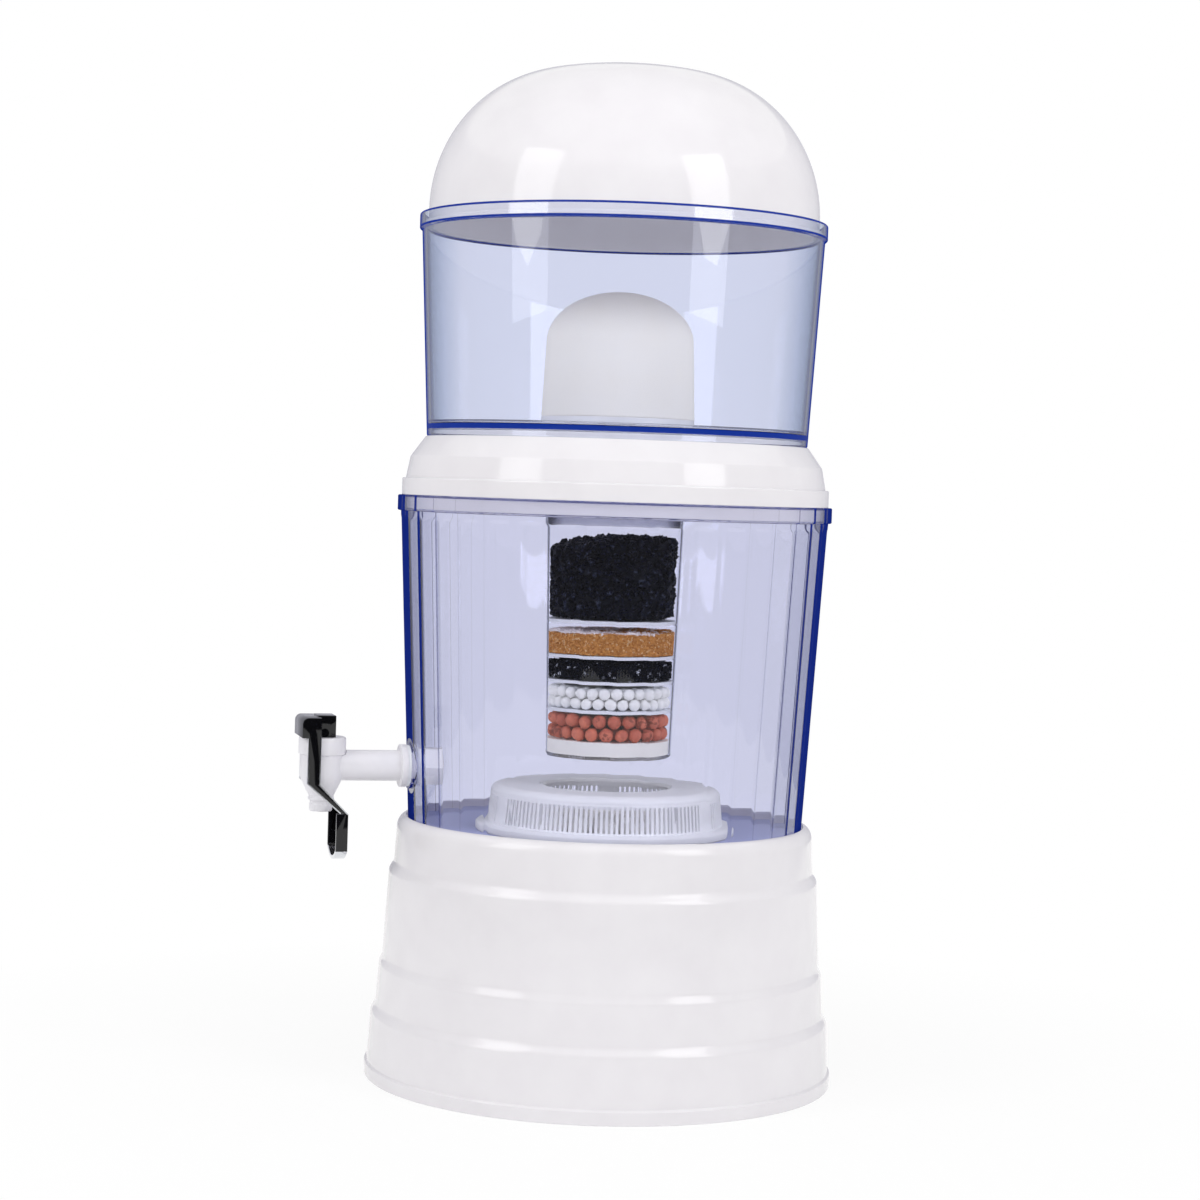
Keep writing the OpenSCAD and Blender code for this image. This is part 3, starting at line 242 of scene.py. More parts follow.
def bondedFibre(name, light, dark):
    # bonded fibre wadding: matt, with short threads about a millimetre apart
    material, add, place = newMaterial(name)
    lying = add("Mapping", {"Vector": place, "Scale": (1.0, 1.0, 3.0)})
    threads, colour = mottled(add, lying, dark, light, 0.9, 3.0, Distortion=1.5)
    skin = add("Bump", {"Height": threads, "Distance": 0.2 * mm})
    return finished(material, add, colour, 0.95, skin, {"Sheen Weight": 0.25})


shellWhite = mouldedPlastic("gloss white ABS, moulded", "#ebe9ec", "#e3e0e4", 0.09, mirror=0.3)
tapWhite = mouldedPlastic("satin white ABS, moulded", "#eceaef", "#e2e1e7", 0.3, 0.05, 9, 0.35)
fittingWhite = mouldedPlastic("white PP fitting, moulded", "#f8f7fa", "#eeeef2", 0.33, 0.05, 9)
leverBlack = mouldedPlastic("gloss black ABS, moulded", "#0c0c0f", "#070709", 0.07, 0.02, 10,
                            0.45)
# painted shade: the third colour of each tint is painted dark in lines at outlines, rims and panel
# corners
upperTint = clearPlastic(
    "clear blue SAN, moulded", "#eef0fb", "#007cc3", "#183494", "#0098e2", 10.0,
    crisp=(0.80, 0.91), within=108.2,
    lines=((499.4, 0.6, 0.85), (492.1, 0.6, 0.9), (377.1, 1.4, 0.88)))
# painted light: the lower tank's last colour is painted over its floor
lowerTint = clearPlastic(
    "clear violet-blue SAN, moulded", "#eaebf7", "#0048a8", "#16287c", "#0044dc", 9.0,
    crisp=(0.72, 0.82), within=112.1, lines=((336.6, 0.7, 0.5), (328.7, 0.5, 0.35)), panels=40,
    clearSpot=(0, -115.0, 181.3, 16.0), paintedFoot=(146.5, 0.75, "#b8bee6"))
# painted shade here too: a painted outline in the third colour
cartridgeClear = clearPlastic("clear SAN cartridge, moulded", "#ffffff", "#e4e8f4", "#c4c8de",
                              "#0048b4", 6.0, 0.0, 1.02, 0.7, 1.0, (0.98, 1.0))
capGrey = clearPlastic("grey translucent PP, moulded", "#f0f0f4", "#5a5a70", "#44445c",
                       "#5a628c", 110.0, 0.2, 1.3, 0.36, 0.82, (0.94, 1.0))
frostedWhite = milkyPlastic("milky PP, moulded", "#fefeff", "#f8f9fd")
sieveWhite = milkyPlastic("thin milky PP disc, moulded", "#f2f4fa", "#e4e7f0", 0.3)
siliconeClear = milkyPlastic("cloudy silicone, cast", "#eceef2", "#dfe2e8", 0.5, 0.1, 1.41)
ceramicWhite = firedCeramic("porous ceramic, fired", "#fffcf8", "#fdf8f0")
whiteClay = firedCeramic("white clay ball, fired", "#ffffff", "#efefec", 0.5, 0.06, 0.7)
redClay = mineral("red clay ball, fired", "#bc5c46", "#d8785c", "#94442f", 8.3, 0.6, 0.10)
# painted highlight: the carbon's speck colour stands in for the glints that its grains catch
carbonBlack = mineral("coconut carbon grain, crushed", "#03050c", "#090c1c", "#3d4356",
                      2.6, 0.3, 0.15, 0.9, 0.12)
mineralBlack = mineral("black mineral grain, crushed", "#04060c", "#0a0d18", "#d4d8e4",
                       1.7, 0.3, 0.15, 0.94, 0.08)
sandGold = mineral("mineral sand, sieved", "#a86c30", "#d49650", "#f2d8a8", 1.1, 0.65, 0.15,
                   0.86, 0.3)
saltWhite = firedCeramic("mineral salt crust", "#fbf5f6", "#e3d8d8", 0.6, 0.2, 0.75)
stoneGrey = mineral("river stone, tumbled", "#e2e0dd", "#f1efec", "#fbfaf7", 15.0, 0.55, 0.1,
                    0.6)
# painted shade: a dark sheet for the discs over the balls
shadeDiscDark = bondedFibre("dark disc, painted shade", "#17181c", "#0b0b0e")
springSteel = brightMetal("stainless wire, drawn", "#c6c6c8", 0.22, 0.25)
leverBright = brightMetal("bright plated plastic", "#dcdee2", 0.08, 1.2)
padFibre = bondedFibre("bonded fibre pad, pressed", "#fffdf8", "#f0ede8")
print("materials made:", len(bpy.data.materials))


# mesh tools, in millimetres
def newPiece(name, points, faces):
    mesh = bpy.data.meshes.new(name)
    mesh.from_pydata([Vector(p) * mm for p in points], [], faces)
    piece = bpy.data.objects.new(name, mesh)
    scene.collection.objects.link(piece)
    return piece


def settled(piece, body, replaced):
    if body:
        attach(piece, body)
    if replaced:
        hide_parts(*replaced)
    return piece


def smoothed(mesh, smooth=True, sharpFrom=None):
    # sharpFrom is the angle between faces, in degrees, from which an edge stays sharp
    mesh.polygons.foreach_set("use_smooth", [smooth] * len(mesh.polygons))
    if sharpFrom:
        mesh.set_sharp_from_angle(angle=math.radians(sharpFrom))


def plainMesh(piece):
    # applies what the modifiers make
    bpy.context.view_layer.update()
    seen = piece.evaluated_get(bpy.context.evaluated_depsgraph_get())
    mesh = bpy.data.meshes.new_from_object(seen)
    piece.modifiers.clear()
    piece.data = mesh


def solidPiece(name, points, faces, material, body, replaced=(), smooth=True):
    piece = newPiece(name, points, faces)
    piece.data.validate()
    piece.data.materials.append(material)
    smoothed(piece.data, smooth)
    return settled(piece, body, replaced)


def roundPoint(r, k, around, z):
    a = 2 * math.pi * k / around
    return (r * math.cos(a), r * math.sin(a), z)


def ringOf(r, z, around):
    return [roundPoint(r, k, around, z) for k in range(around)]


def softened(outline, radius):
    # rounds the corners of a closed outline; a point's third number is its own radius
    made, steps = [], 3
    longest = 0.42  # of a side, taken by one corner
    for i, point in enumerate(outline):
        here = Vector(point[:2])
        before, after = Vector(outline[i - 1][:2]), Vector(outline[(i + 1) % len(outline)][:2])
        size = point[2] if len(point) > 2 else radius
        back, on = before - here, after - here
        if (size <= 0 or here.x < 1e-6 or back.length < 1e-6 or on.length < 1e-6
                or back.angle(on) > math.radians(176)):
            made.append(tuple(here))
            continue
        turn = back.angle(on)
        reach = min(size / math.tan(turn / 2), longest * back.length, longest * on.length)
        size = reach * math.tan(turn / 2)
        back, on = back.normalized(), on.normalized()
        start, end = here + back * reach, here + on * reach
        centre = here + (back + on).normalized() * (size / math.sin(turn / 2))
        hold = min(0.25, 0.3 * reach)  # keeps the sides straight beside a corner
        made.append(tuple(start + back * hold))
        a, b = start - centre, end - centre
        sweep = math.copysign(math.pi - turn, a.x * b.y - a.y * b.x)
        for k in range(steps + 1):
            t = sweep * k / steps
            made.append((centre.x + a.x * math.cos(t) - a.y * math.sin(t),
                         centre.y + a.x * math.sin(t) + a.y * math.cos(t)))
        made.append(tuple(end + on * hold))
    return made


def turnedShape(outline, around):
    # turns a closed (radius, height) outline round the axis; faces point outwards
    area = sum(a[0] * b[1] - b[0] * a[1] for a, b in zip(outline, outline[1:] + outline[:1]))
    if area < 0:
        outline = outline[::-1]
    points, rings = [], []
    for r, z in outline:
        first = len(points)
        if r < 1e-6:
            points.append((0, 0, z))
            rings.append([first] * around)
        else:
            points += ringOf(r, z, around)
            rings.append(list(range(first, first + around)))
    faces = []
    for low, high in zip(rings, rings[1:] + rings[:1]):
        for k in range(around):
            n = (k + 1) % around
            face = list(dict.fromkeys((low[k], low[n], high[n], high[k])))
            if len(face) > 2:
                faces.append(face)
    return points, faces


def turnedPiece(name, outline, material, body, replaced=(), radius=0.5, around=256):
    points, faces = turnedShape(softened(outline, radius), around)
    return solidPiece(name, points, faces, material, body, replaced)


def beadedCopy(name, node, material, body, width, angle, segments=2):
    # a CAD solid with its edges rounded off
    mesh = nodes[node].data.copy()
    mesh.materials.clear()
    mesh.materials.append(material)
    work = bmesh.new()
    work.from_mesh(mesh)
    bmesh.ops.remove_doubles(work, verts=work.verts, dist=0.002 * mm)
    bmesh.ops.dissolve_limit(work, angle_limit=math.radians(0.6), verts=work.verts,
                             edges=work.edges, delimit=set())
    work.to_mesh(mesh)
    work.free()
    piece = bpy.data.objects.new(name, mesh)
    scene.collection.objects.link(piece)
    edge = piece.modifiers.new("edge", "BEVEL")
    edge.width, edge.segments, edge.limit_method = width * mm, segments, "ANGLE"
    edge.angle_limit = math.radians(angle)
    edge.use_clamp_overlap = True
    plainMesh(piece)
    smoothed(piece.data, sharpFrom=40)
    return settled(piece, body, (node,))


# geometry nodes
def newTree(name, inputs):
    # a tree, what adds its nodes, and its named inputs, each of the kind of its first value
    kinds = {float: "Float", int: "Int", tuple: "Vector", type(None): "Material"}
    tree = bpy.data.node_groups.new(name, "GeometryNodeTree")
    sockets = tree.interface
    sockets.new_socket("Geometry", in_out="INPUT", socket_type="NodeSocketGeometry")
    for title, value in inputs.items():
        socket = sockets.new_socket(title, in_out="INPUT",
                                    socket_type="NodeSocket" + kinds[type(value)])
        if value is not None:
            socket.default_value = value
    sockets.new_socket("Geometry", in_out="OUTPUT", socket_type="NodeSocketGeometry")
    add = partial(addNode, tree)
    return tree, add, add("NodeGroupInput").outputs


def endTree(add, geometry, material):
    real = add("GeometryNodeRealizeInstances", {0: geometry})
    painted = add("GeometryNodeSetMaterial", {"Geometry": real, "Material": material})
    add("NodeGroupOutput", {0: painted})


def grown(name, start, tree, values, body, replaced=(), smooth=True):
    # runs a tree on a start mesh (points, faces) and keeps the plain mesh
    piece = newPiece(name, *start)
    modifier = piece.modifiers.new("grow", "NODES")
    modifier.node_group = tree
    for item in tree.interface.items_tree:
        if item.item_type == "SOCKET" and item.in_out == "INPUT" and item.name in values:
            modifier[item.identifier] = values[item.name]
    plainMesh(piece)
    smoothed(piece.data, smooth)
    return settled(piece, body, replaced)


def rockOf(add, size, rough, subdivisions):
    # one rounded or broken stone of a given radius
    ball = add("GeometryNodeMeshIcoSphere", {"Radius": size, "Subdivisions": subdivisions})
    scale = add("CombineXYZ", {"X": size, "Y": size, "Z": size})
    unit = add("VectorMath", {0: add("GeometryNodeInputPosition"), 1: scale}, "DIVIDE")
    lumps = add("TexNoise", {"Vector": unit, "Scale": 1.1, "Detail": 1.0})
    centred = add("Math", {0: lumps, 1: 0.5}, "SUBTRACT")
    amount = add("Math", {0: centred, 1: rough}, "MULTIPLY")
    sized = add("Math", {0: amount, 1: size}, "MULTIPLY")
    shift = add("VectorMath", {0: add("GeometryNodeInputNormal"), "Scale": sized}, "SCALE")
    return add("GeometryNodeSetPosition", {"Geometry": ball, "Offset": shift})


def strewn(add, given, radius, points, turns, smallest):
    # one stone on each point, turned and sized at random between the limits
    rock = rockOf(add, given[radius], given["Roughness Of Shape"], given["Detail"])
    turn = add("FunctionNodeRandomValue", {0: turns[0], 1: turns[1], "Seed": given["Seed"]},
               data_type="FLOAT_VECTOR")
    size = add("FunctionNodeRandomValue", {
        0: smallest, 1: (1.0, 1.0, 1.0), "Seed": given["Seed"]}, data_type="FLOAT_VECTOR")
    return add("GeometryNodeInstanceOnPoints", {
        "Points": points, "Instance": rock, "Rotation": turn, "Scale": size})


def grainsTree():
    # grains lie all over a bed's surface; the bed itself closes the gaps between them
    tree, add, given = newTree("grains on a bed", {
        "Grain Radius": 0.001, "Grains Per Area": 100000.0, "Roughness Of Shape": 0.9,
        "Detail": 1, "Seed": 1, "Flatness": 0.6, "Material": None})
    scatter = add("GeometryNodeDistributePointsOnFaces", {
        "Mesh": given["Geometry"], "Density": given["Grains Per Area"], "Seed": given["Seed"]},
        distribute_method="RANDOM")
    flatness = given["Flatness"]
    low = add("CombineXYZ", {"X": flatness, "Y": flatness, "Z": flatness})
    laid = strewn(add, given, "Grain Radius", scatter, ((0, 0, 0), (6.283, 6.283, 6.283)), low)
    both = add("GeometryNodeJoinGeometry")
    tree.links.new(given["Geometry"], both.inputs[0])
    tree.links.new(laid.outputs[0], both.inputs[0])
    endTree(add, both, given["Material"])
    return tree


def ballsTree():
    # one rolled ball or pebble on each point of the start mesh
    tree, add, given = newTree("balls on points", {
        "Ball Radius": 0.004, "Roughness Of Shape": 0.15, "Detail": 3,
        "Smallest": (0.9, 0.9, 0.9), "Seed": 1, "Material": None})
    laid = strewn(add, given, "Ball Radius", given["Geometry"],
                  ((-0.5, -0.5, 0.0), (0.5, 0.5, 6.283)), given["Smallest"])
    endTree(add, laid, given["Material"])
    return tree


def roundTree():
    # repeats the start mesh a number of times round the axis, over an arc
    tree, add, given = newTree("repeat round the axis", {
        "Count": 8, "First Angle": 0.0, "Step": 0.1, "Material": None})
    line = add("GeometryNodePoints", {"Count": given["Count"], "Position": (0, 0, 0)})
    along = add("Math", {0: add("GeometryNodeInputIndex"), 1: given["Step"]}, "MULTIPLY")
    angle = add("Math", {0: along, 1: given["First Angle"]}, "ADD")
    laid = add("GeometryNodeInstanceOnPoints", {
        "Points": line, "Instance": given["Geometry"], "Rotation": add("CombineXYZ", {"Z": angle})})
    endTree(add, laid, given["Material"])
    return tree


def panelTree():
    # draws both faces of a round wall in to flat panels, fading out at the foot and the top
    tree, add, given = newTree("flat panels on a wall", {
        "Panels": 40.0, "Panel Top": 0.3, "Panel Foot": 0.15, "Fade": 0.004,
        "Wall Inside": 0.1, "Slope": 0.05, "Material": None})
    geometry, panels, top, foot, fade, inside, slope, material = given[:8]
    place = add("GeometryNodeInputPosition")
    x, y, z = add("SeparateXYZ", {0: place}).outputs
    flat = add("CombineXYZ", {"X": x, "Y": y})
    reach = add("VectorMath", {0: flat}, "LENGTH")
    angle = add("Math", {0: x, 1: y}, "ARCTAN2")
    share = add("Math", {0: 2 * math.pi, 1: panels}, "DIVIDE")
    half = add("Math", {0: share, 1: 0.5}, "MULTIPLY")
    # angle from the middle of the nearest panel; one panel faces the tap
    moved = add("Math", {0: angle, 1: half}, "ADD")
    inPanel = add("Math", {0: moved, 1: share}, "FLOORED_MODULO")
    offset = add("Math", {0: inPanel, 1: half}, "SUBTRACT")
    corner = add("Math", {0: half}, "COSINE")
    local = add("Math", {0: offset}, "COSINE")
    ratio = add("Math", {0: corner, 1: local}, "DIVIDE")
    # full panels between the foot and the top
    endTop = add("Math", {0: top, 1: fade}, "SUBTRACT")
    endFoot = add("Math", {0: foot, 1: fade}, "ADD")
    fadeTop = add("MapRange", {"Value": z, "From Min": top, "From Max": endTop},
                  interpolation_type="SMOOTHSTEP")
    fadeFoot = add("MapRange", {"Value": z, "From Min": foot, "From Max": endFoot},
                   interpolation_type="SMOOTHSTEP")
    depth = add("Math", {0: fadeTop, 1: fadeFoot}, "MULTIPLY")
    drawn = add("Mix", {0: depth, 2: 1.0, 3: ratio}, data_type="FLOAT")
    wall = add("Math", {0: z, 1: slope, 2: inside}, "MULTIPLY_ADD")
    chosen = add("Math", {0: reach, 1: wall}, "GREATER_THAN")
    squeeze = add("CombineXYZ", {"X": drawn, "Y": drawn, "Z": 1.0})
    goal = add("VectorMath", {0: place, 1: squeeze}, "MULTIPLY")
    shaped = add("GeometryNodeSetPosition", {
        "Geometry": geometry, "Selection": chosen, "Position": goal})
    endTree(add, shaped, material)
    return tree


grainTree, ballTree, repeatTree, facetTree = grainsTree(), ballsTree(), roundTree(), panelTree()


# stand
stand = {"mouth": 115.92, "lip": 5.6, "lipHeight": 7.5, "height": 151.0, "seat": 141.0,
         "ledge": 101.0, "ledgeThick": 3.0, "wall": 2.6, "slope": math.tan(math.radians(3)),
         "steps": [(35.5, 133.78, 130.88), (63.5, 129.78, 127.88), (118.0, 125.39, 122.49)],
         "stepHeight": 7.0, "foot": 135.64, "footOut": 1.0, "footHeight": 8.5,
         "ribs": 8, "ribThick": 2.0,
         "rib": [(102.2, 139.5), (102.2, 134.0), (119.0, 126.5), (121.0, 126.5), (120.2, 139.5)]}


def standCurve(inset):
    line = []
    for z, below, above in stand["steps"]:
        for k in range(15):
            t = k / 14
            ease = (1 - math.cos(math.pi * t)) / 2
            line.append((below + (above - below) * ease - inset, z + stand["stepHeight"] * t, 0))
    return line


def makeStand():
    s = stand
    rim, lipBase = s["mouth"] + s["lip"], s["height"] - s["lipHeight"]
    ledgeUnder = s["seat"] - s["ledgeThick"]
    outer = [(s["foot"] + s["footOut"] - 0.2, 0, 0.5),
             (s["foot"] + s["footOut"], s["footHeight"] - 1.0, 0.7),
             (s["foot"] - s["footHeight"] * s["slope"], s["footHeight"], 0.4)] + standCurve(0)
    lip = []
    for k in range(12):
        a = math.radians(90 * k / 12)
        lip.append((s["mouth"] + s["lip"] * math.cos(a), lipBase + s["lipHeight"] * math.sin(a), 0))
    inner = [(s["mouth"] + 0.5, s["height"], 0.5), (s["mouth"], s["height"] - 1.2, 0.5),
             (s["mouth"], s["seat"]), (s["ledge"], s["seat"]), (s["ledge"], ledgeUnder),
             (rim + (lipBase - s["seat"] + s["ledgeThick"]) * s["slope"] - s["wall"], ledgeUnder)]
    inside = standCurve(s["wall"])[::-1] + [(s["foot"] - s["wall"], 0, 0.3)]
    turnedPiece("standShell", outer + lip + inner + inside, shellWhite, "stand",
                ("stand_base",))
    # gussets under the ledge
    n, half = len(s["rib"]), s["ribThick"] / 2
    points = [(r, y, z) for y in (-half, half) for r, z in s["rib"]]
    faces = [list(range(n))[::-1], list(range(n, 2 * n))]
    faces += [[(k + 1) % n, n + (k + 1) % n, n + k, k] for k in range(n)]
    grown("standRibs", (points, faces), repeatTree, {
        "Count": s["ribs"], "First Angle": math.pi / s["ribs"],
        "Step": 2 * math.pi / s["ribs"], "Material": shellWhite}, "stand", (), False)


makeStand()
print("stand made")


# collar
collar = {"top": 371.7, "base": 337.2, "wide": 124.31, "band": 10.0, "step": 2.0,
          "shoulder": 119.90, "shoulderHeight": 359.7, "topWide": 111.3, "inside": 119.7,
          "skirt": 121.48, "skirtDeep": 8, "ringOut": 107.9, "ringIn": 105.9, "ringHigh": 3.2,
          "hole": 97.0, "plate": 2.6}


def makeCollar():
    c = collar
    top, base, wide = c["top"], c["base"], c["wide"]
    skirtFoot, bandTop, under = base - c["skirtDeep"], base + c["band"], top - c["plate"]
    outline = [
        (c["inside"], skirtFoot), (c["skirt"], skirtFoot), (c["skirt"], base, 0.2),
        (wide, base, 0.5), (wide, bandTop, 0.9), (wide - c["step"], bandTop, 0.35),
        (c["shoulder"], c["shoulderHeight"], 2.5), (c["topWide"], top, 1.6),
        (c["ringOut"], top, 0.3), (c["ringOut"], top + c["ringHigh"], 0.5),
        (c["ringIn"], top + c["ringHigh"], 0.5), (c["ringIn"], top, 0.3),
        (c["hole"], top, 0.8), (c["hole"], under, 0.6), (c["topWide"] - 1.2, under, 0.5),
        (c["shoulder"] - 2.4, c["shoulderHeight"] - 1.2, 2.0), (120.1, base + 2.4, 0.3),
        (c["inside"], base + 2.4, 0.3)]
    turnedPiece("collarShell", outline, shellWhite, "collar_ring", ("collar",), 0.4)


makeCollar()
print("collar made")


# dome lid
dome = {"side": 113.51, "foot": 492.0, "flange": 115.6, "flangeThick": 3.0, "wide": 502.5,
        "shoulderWide": 78.0, "shoulderHigh": 83.0, "crownAngle": 11.0, "wall": 2.4}


def domeCurve(inset):
    d = dome
    w, h = d["shoulderWide"] - inset, d["shoulderHigh"] - inset
    middle = d["side"] - d["shoulderWide"]
    line = []
    for k in range(33):
        a = math.radians(90 + (d["crownAngle"] - 90) * k / 32)
        line.append((middle + w * math.sin(a), d["wide"] + h * math.cos(a), 0))
    slope = math.atan(h / w * math.tan(math.radians(d["crownAngle"])))
    crown = line[-1][0] / math.sin(slope)
    start = line[-1][1] - crown * math.cos(slope)
    for k in range(1, 13):
        a = slope * (1 - k / 12)
        line.append((max(crown * math.sin(a), 0), start + crown * math.cos(a), 0))
    return line


def makeDome():
    d = dome
    flangeTop = d["foot"] + d["flangeThick"]
    outline = [(d["side"] - d["wall"], d["foot"]), (d["flange"], d["foot"]),
               (d["flange"], flangeTop), (d["side"], flangeTop, 0.8)]
    outline += domeCurve(0) + domeCurve(d["wall"])[::-1]
    turnedPiece("domeShell", outline, shellWhite, "lid", ("dome_lid",))


makeDome()
print("dome lid made")


# tanks
tankSlope = math.tan(math.radians(2.95))
upper = {"foot": 110.9, "base": 371.7, "under": 376.3, "floor": 378.8, "wall": 2.5,
         "ledge": 492.0, "top": 500.0, "rim": 118.51, "recess": 116.11, "hole": 7.7}
lower = {"foot": 114.9, "base": 141.0, "floor": 144.0, "wall": 2.6, "top": 337.2,
         "panelTop": 325.7, "panelFoot": 146.6, "fade": 3.2, "bead": 9.0, "beadOut": 1.5,
         "panels": 40, "tapHeight": 181.3, "padOut": 117.96, "padIn": 112.61, "pad": 13.3,
         "hole": 8.1}


def wallAt(tank, z):
    return tank["foot"] + (z - tank["base"]) * tankSlope


def sharpCorners(mesh, panels, low, high):
    # the panels meet at crisp upright edges
    share = 2 * math.pi / panels
    insideAll, nearCorner = 90, 0.004  # mm from the axis, and a share of a panel
    onCorner = []
    for vertex in mesh.vertices:
        x, y, z = vertex.co / mm
        turned = math.atan2(x, y) / share
        onCorner.append(math.hypot(x, y) > insideAll and low - 0.1 < z < high + 0.1
                        and abs(turned - math.floor(turned) - 0.5) < nearCorner)
    for edge in mesh.edges:
        a, b = edge.vertices
        if onCorner[a] and onCorner[b] and abs(mesh.vertices[a].co.z - mesh.vertices[b].co.z) > mm:
            edge.use_edge_sharp = True


def makeUpperTank():
    u = upper
    inside, bevel = u["foot"] - u["wall"], u["ledge"] - 1.2
    outline = [
        (u["hole"], u["under"], 0.3), (inside, u["under"], 0.8), (inside, u["base"], 0.5),
        (u["foot"], u["base"], 0.9), (wallAt(u, bevel), bevel, 0.6),
        (u["rim"], u["ledge"] - 0.3, 0.7), (u["rim"], u["top"], 0.9),
        (u["recess"], u["top"], 0.6), (u["recess"], u["ledge"], 0.4),
        (wallAt(u, u["ledge"]) - u["wall"], u["ledge"], 0.6),
        (wallAt(u, u["floor"]) - u["wall"], u["floor"], 1.8), (u["hole"], u["floor"], 0.3)]
    turnedPiece("upperTankWall", outline, upperTint, "upper_unit", ("upper_tank",))


def makeLowerTank():
    t = lower
    top = wallAt(t, t["top"]) + t["beadOut"]
    beadLow = t["top"] - t["bead"]
    # rows where the panels fade in and out, so that the wall between stays straight
    rows = [t["panelFoot"] + t["fade"] * k / 4 for k in range(5)]
    rows += [t["panelTop"] - t["fade"] * k / 4 for k in range(4, -1, -1)]
    outline = [(0, t["base"]), (wallAt(t, t["base"]) - 0.1, t["base"], 0.9)]
    outline += [(wallAt(t, z), z, 0) for z in rows]
    outline += [(wallAt(t, beadLow), beadLow, 0.3), (top, beadLow, 0.9), (top, t["top"], 0.8),
                (wallAt(t, t["top"]) - t["wall"], t["top"], 0.6)]
    outline += [(wallAt(t, z) - t["wall"], z, 0) for z in rows[::-1]]
    outline += [(wallAt(t, t["floor"]) - t["wall"], t["floor"], 2.5), (0, t["floor"])]
    start = turnedShape(softened(outline, 0.5), 12 * t["panels"])
    tank = grown("lowerTankWall", start, facetTree, {
        "Panels": float(t["panels"]), "Panel Top": t["panelTop"] * mm,
        "Panel Foot": t["panelFoot"] * mm, "Fade": t["fade"] * mm,
        "Wall Inside": (t["foot"] - t["base"] * tankSlope - t["wall"] - 0.8) * mm,
        "Slope": tankSlope, "Material": lowerTint}, None)
    # flat pads inside and out, and the tap's hole
    cutters = []
    for name, a, b, r, joined in (
            ("padOutside", t["padIn"] + 1.4, t["padOut"], t["pad"], True),
            ("padInside", t["padIn"], t["padOut"] - 1.6, t["pad"] - 0.4, True),
            ("tapHole", t["padIn"] - 4, t["padOut"] + 4, t["hole"], False)):
        points, faces = turnedShape([(0, a), (r, a), (r, b), (0, b)], 64)
        points = [(x, -z, y + t["tapHeight"]) for x, y, z in points]
        cutter = solidPiece(name, points, faces, lowerTint, None)
        join = tank.modifiers.new(name, "BOOLEAN")
        join.operation = "UNION" if joined else "DIFFERENCE"
        join.object, join.solver = cutter, "EXACT"
        cutters.append(cutter)
    plainMesh(tank)
    for cutter in cutters:
        bpy.data.objects.remove(cutter)
    smoothed(tank.data, sharpFrom=30)
    sharpCorners(tank.data, t["panels"], t["panelFoot"] + t["fade"], t["panelTop"] - t["fade"])
    settled(tank, "lower_unit", ("lower_tank",))


makeUpperTank()
makeLowerTank()
print("tanks made")


# ceramic dome
ceramic = {"foot": 385.3, "side": 429.3, "radius": 44.7, "taper": 1.8, "high": 29.5, "wall": 7.0}


def ceramicCurve(inset):
    c = ceramic
    line = [(c["radius"] - inset, c["foot"], 0.8)]
    for k in range(25):
        a = math.radians(90 * k / 24)
        line.append((max((c["radius"] - c["taper"] - inset) * math.cos(a), 0),
                     c["side"] + (c["high"] - inset) * math.sin(a), 1.6 if k == 0 else 0))
    return line


turnedPiece("ceramicShell", ceramicCurve(0) + ceramicCurve(ceramic["wall"])[::-1],
            ceramicWhite, "upper_unit", ("ceramic_dome",), 0.5, 160)
print("ceramic dome made")


# cartridge
cartridge = {"top": 331.1, "radius": 40.5, "wall": 1.2, "floor": 2, "clear": 0.25,
             "slope": math.tan(math.radians(1.4)), "bead": 0.6, "beadHigh": 0.9,
             "beadsUnder": ("separator_sand", "separator_black", "separator_white",
                            "separator_red")}


def caseRadius(z):
    return cartridge["radius"] - (cartridge["top"] - z) * cartridge["slope"]


def bedRadius(z):
    return caseRadius(z) - cartridge["wall"] - cartridge["clear"]


def heightsOf(node):
    low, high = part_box(node)
    return low.z / mm, high.z / mm


def makeCartridgeCase():
    c = cartridge
    base, top = heightsOf("cartridge_case")
    floor = base + c["floor"]
    outline = [(0, base), (caseRadius(base) - 1, base, 0.4), (caseRadius(base + 1), base + 1, 0.4),
               (c["radius"], top, 0.3), (c["radius"] - c["wall"], top, 0.3)]
    for node in c["beadsUnder"]:
        z = heightsOf(node)[0]
        r = caseRadius(z) - c["wall"]
        outline += [(r, z, 0.1), (r - c["bead"], z, 0.15), (r - 0.02, z - c["beadHigh"], 0.15)]
    outline += [(caseRadius(floor) - c["wall"], floor, 0.4), (0, floor)]
    turnedPiece("cartridgeWall", outline, cartridgeClear, "upper_unit", ("cartridge_case",),
                0.3, 160)


def moundShape(bottom, radiusAt, heightAt, inset, around, rings):
    # a filled bed with an uneven top, closed, faces outwards
    sideSteps = 5
    r = radiusAt(bottom) - inset
    points = [(0, 0, bottom + inset)] + ringOf(r, bottom + inset, around)
    for s in range(1, sideSteps + 1):
        for k in range(around):
            x, y, low = points[k + 1]
            z = low + (heightAt(x, y) - inset - bottom - inset) * s / sideSteps
            points.append(roundPoint(radiusAt(z) - inset, k, around, z))
    for s in range(1, rings):
        for x, y, _ in ringOf(r * (1 - s / rings), 0, around):
            points.append((x, y, heightAt(x, y) - inset))
    points.append((0, 0, heightAt(0, 0) - inset))
    last = len(points) - 1
    faces = []
    for k in range(around):
        n = (k + 1) % around
        faces.append([0, 1 + n, 1 + k])
        for low in range(1, last - around, around):
            faces.append([low + k, low + n, low + around + n, low + around + k])
        faces.append([last - around + k, last - around + n, last])
    return points, faces


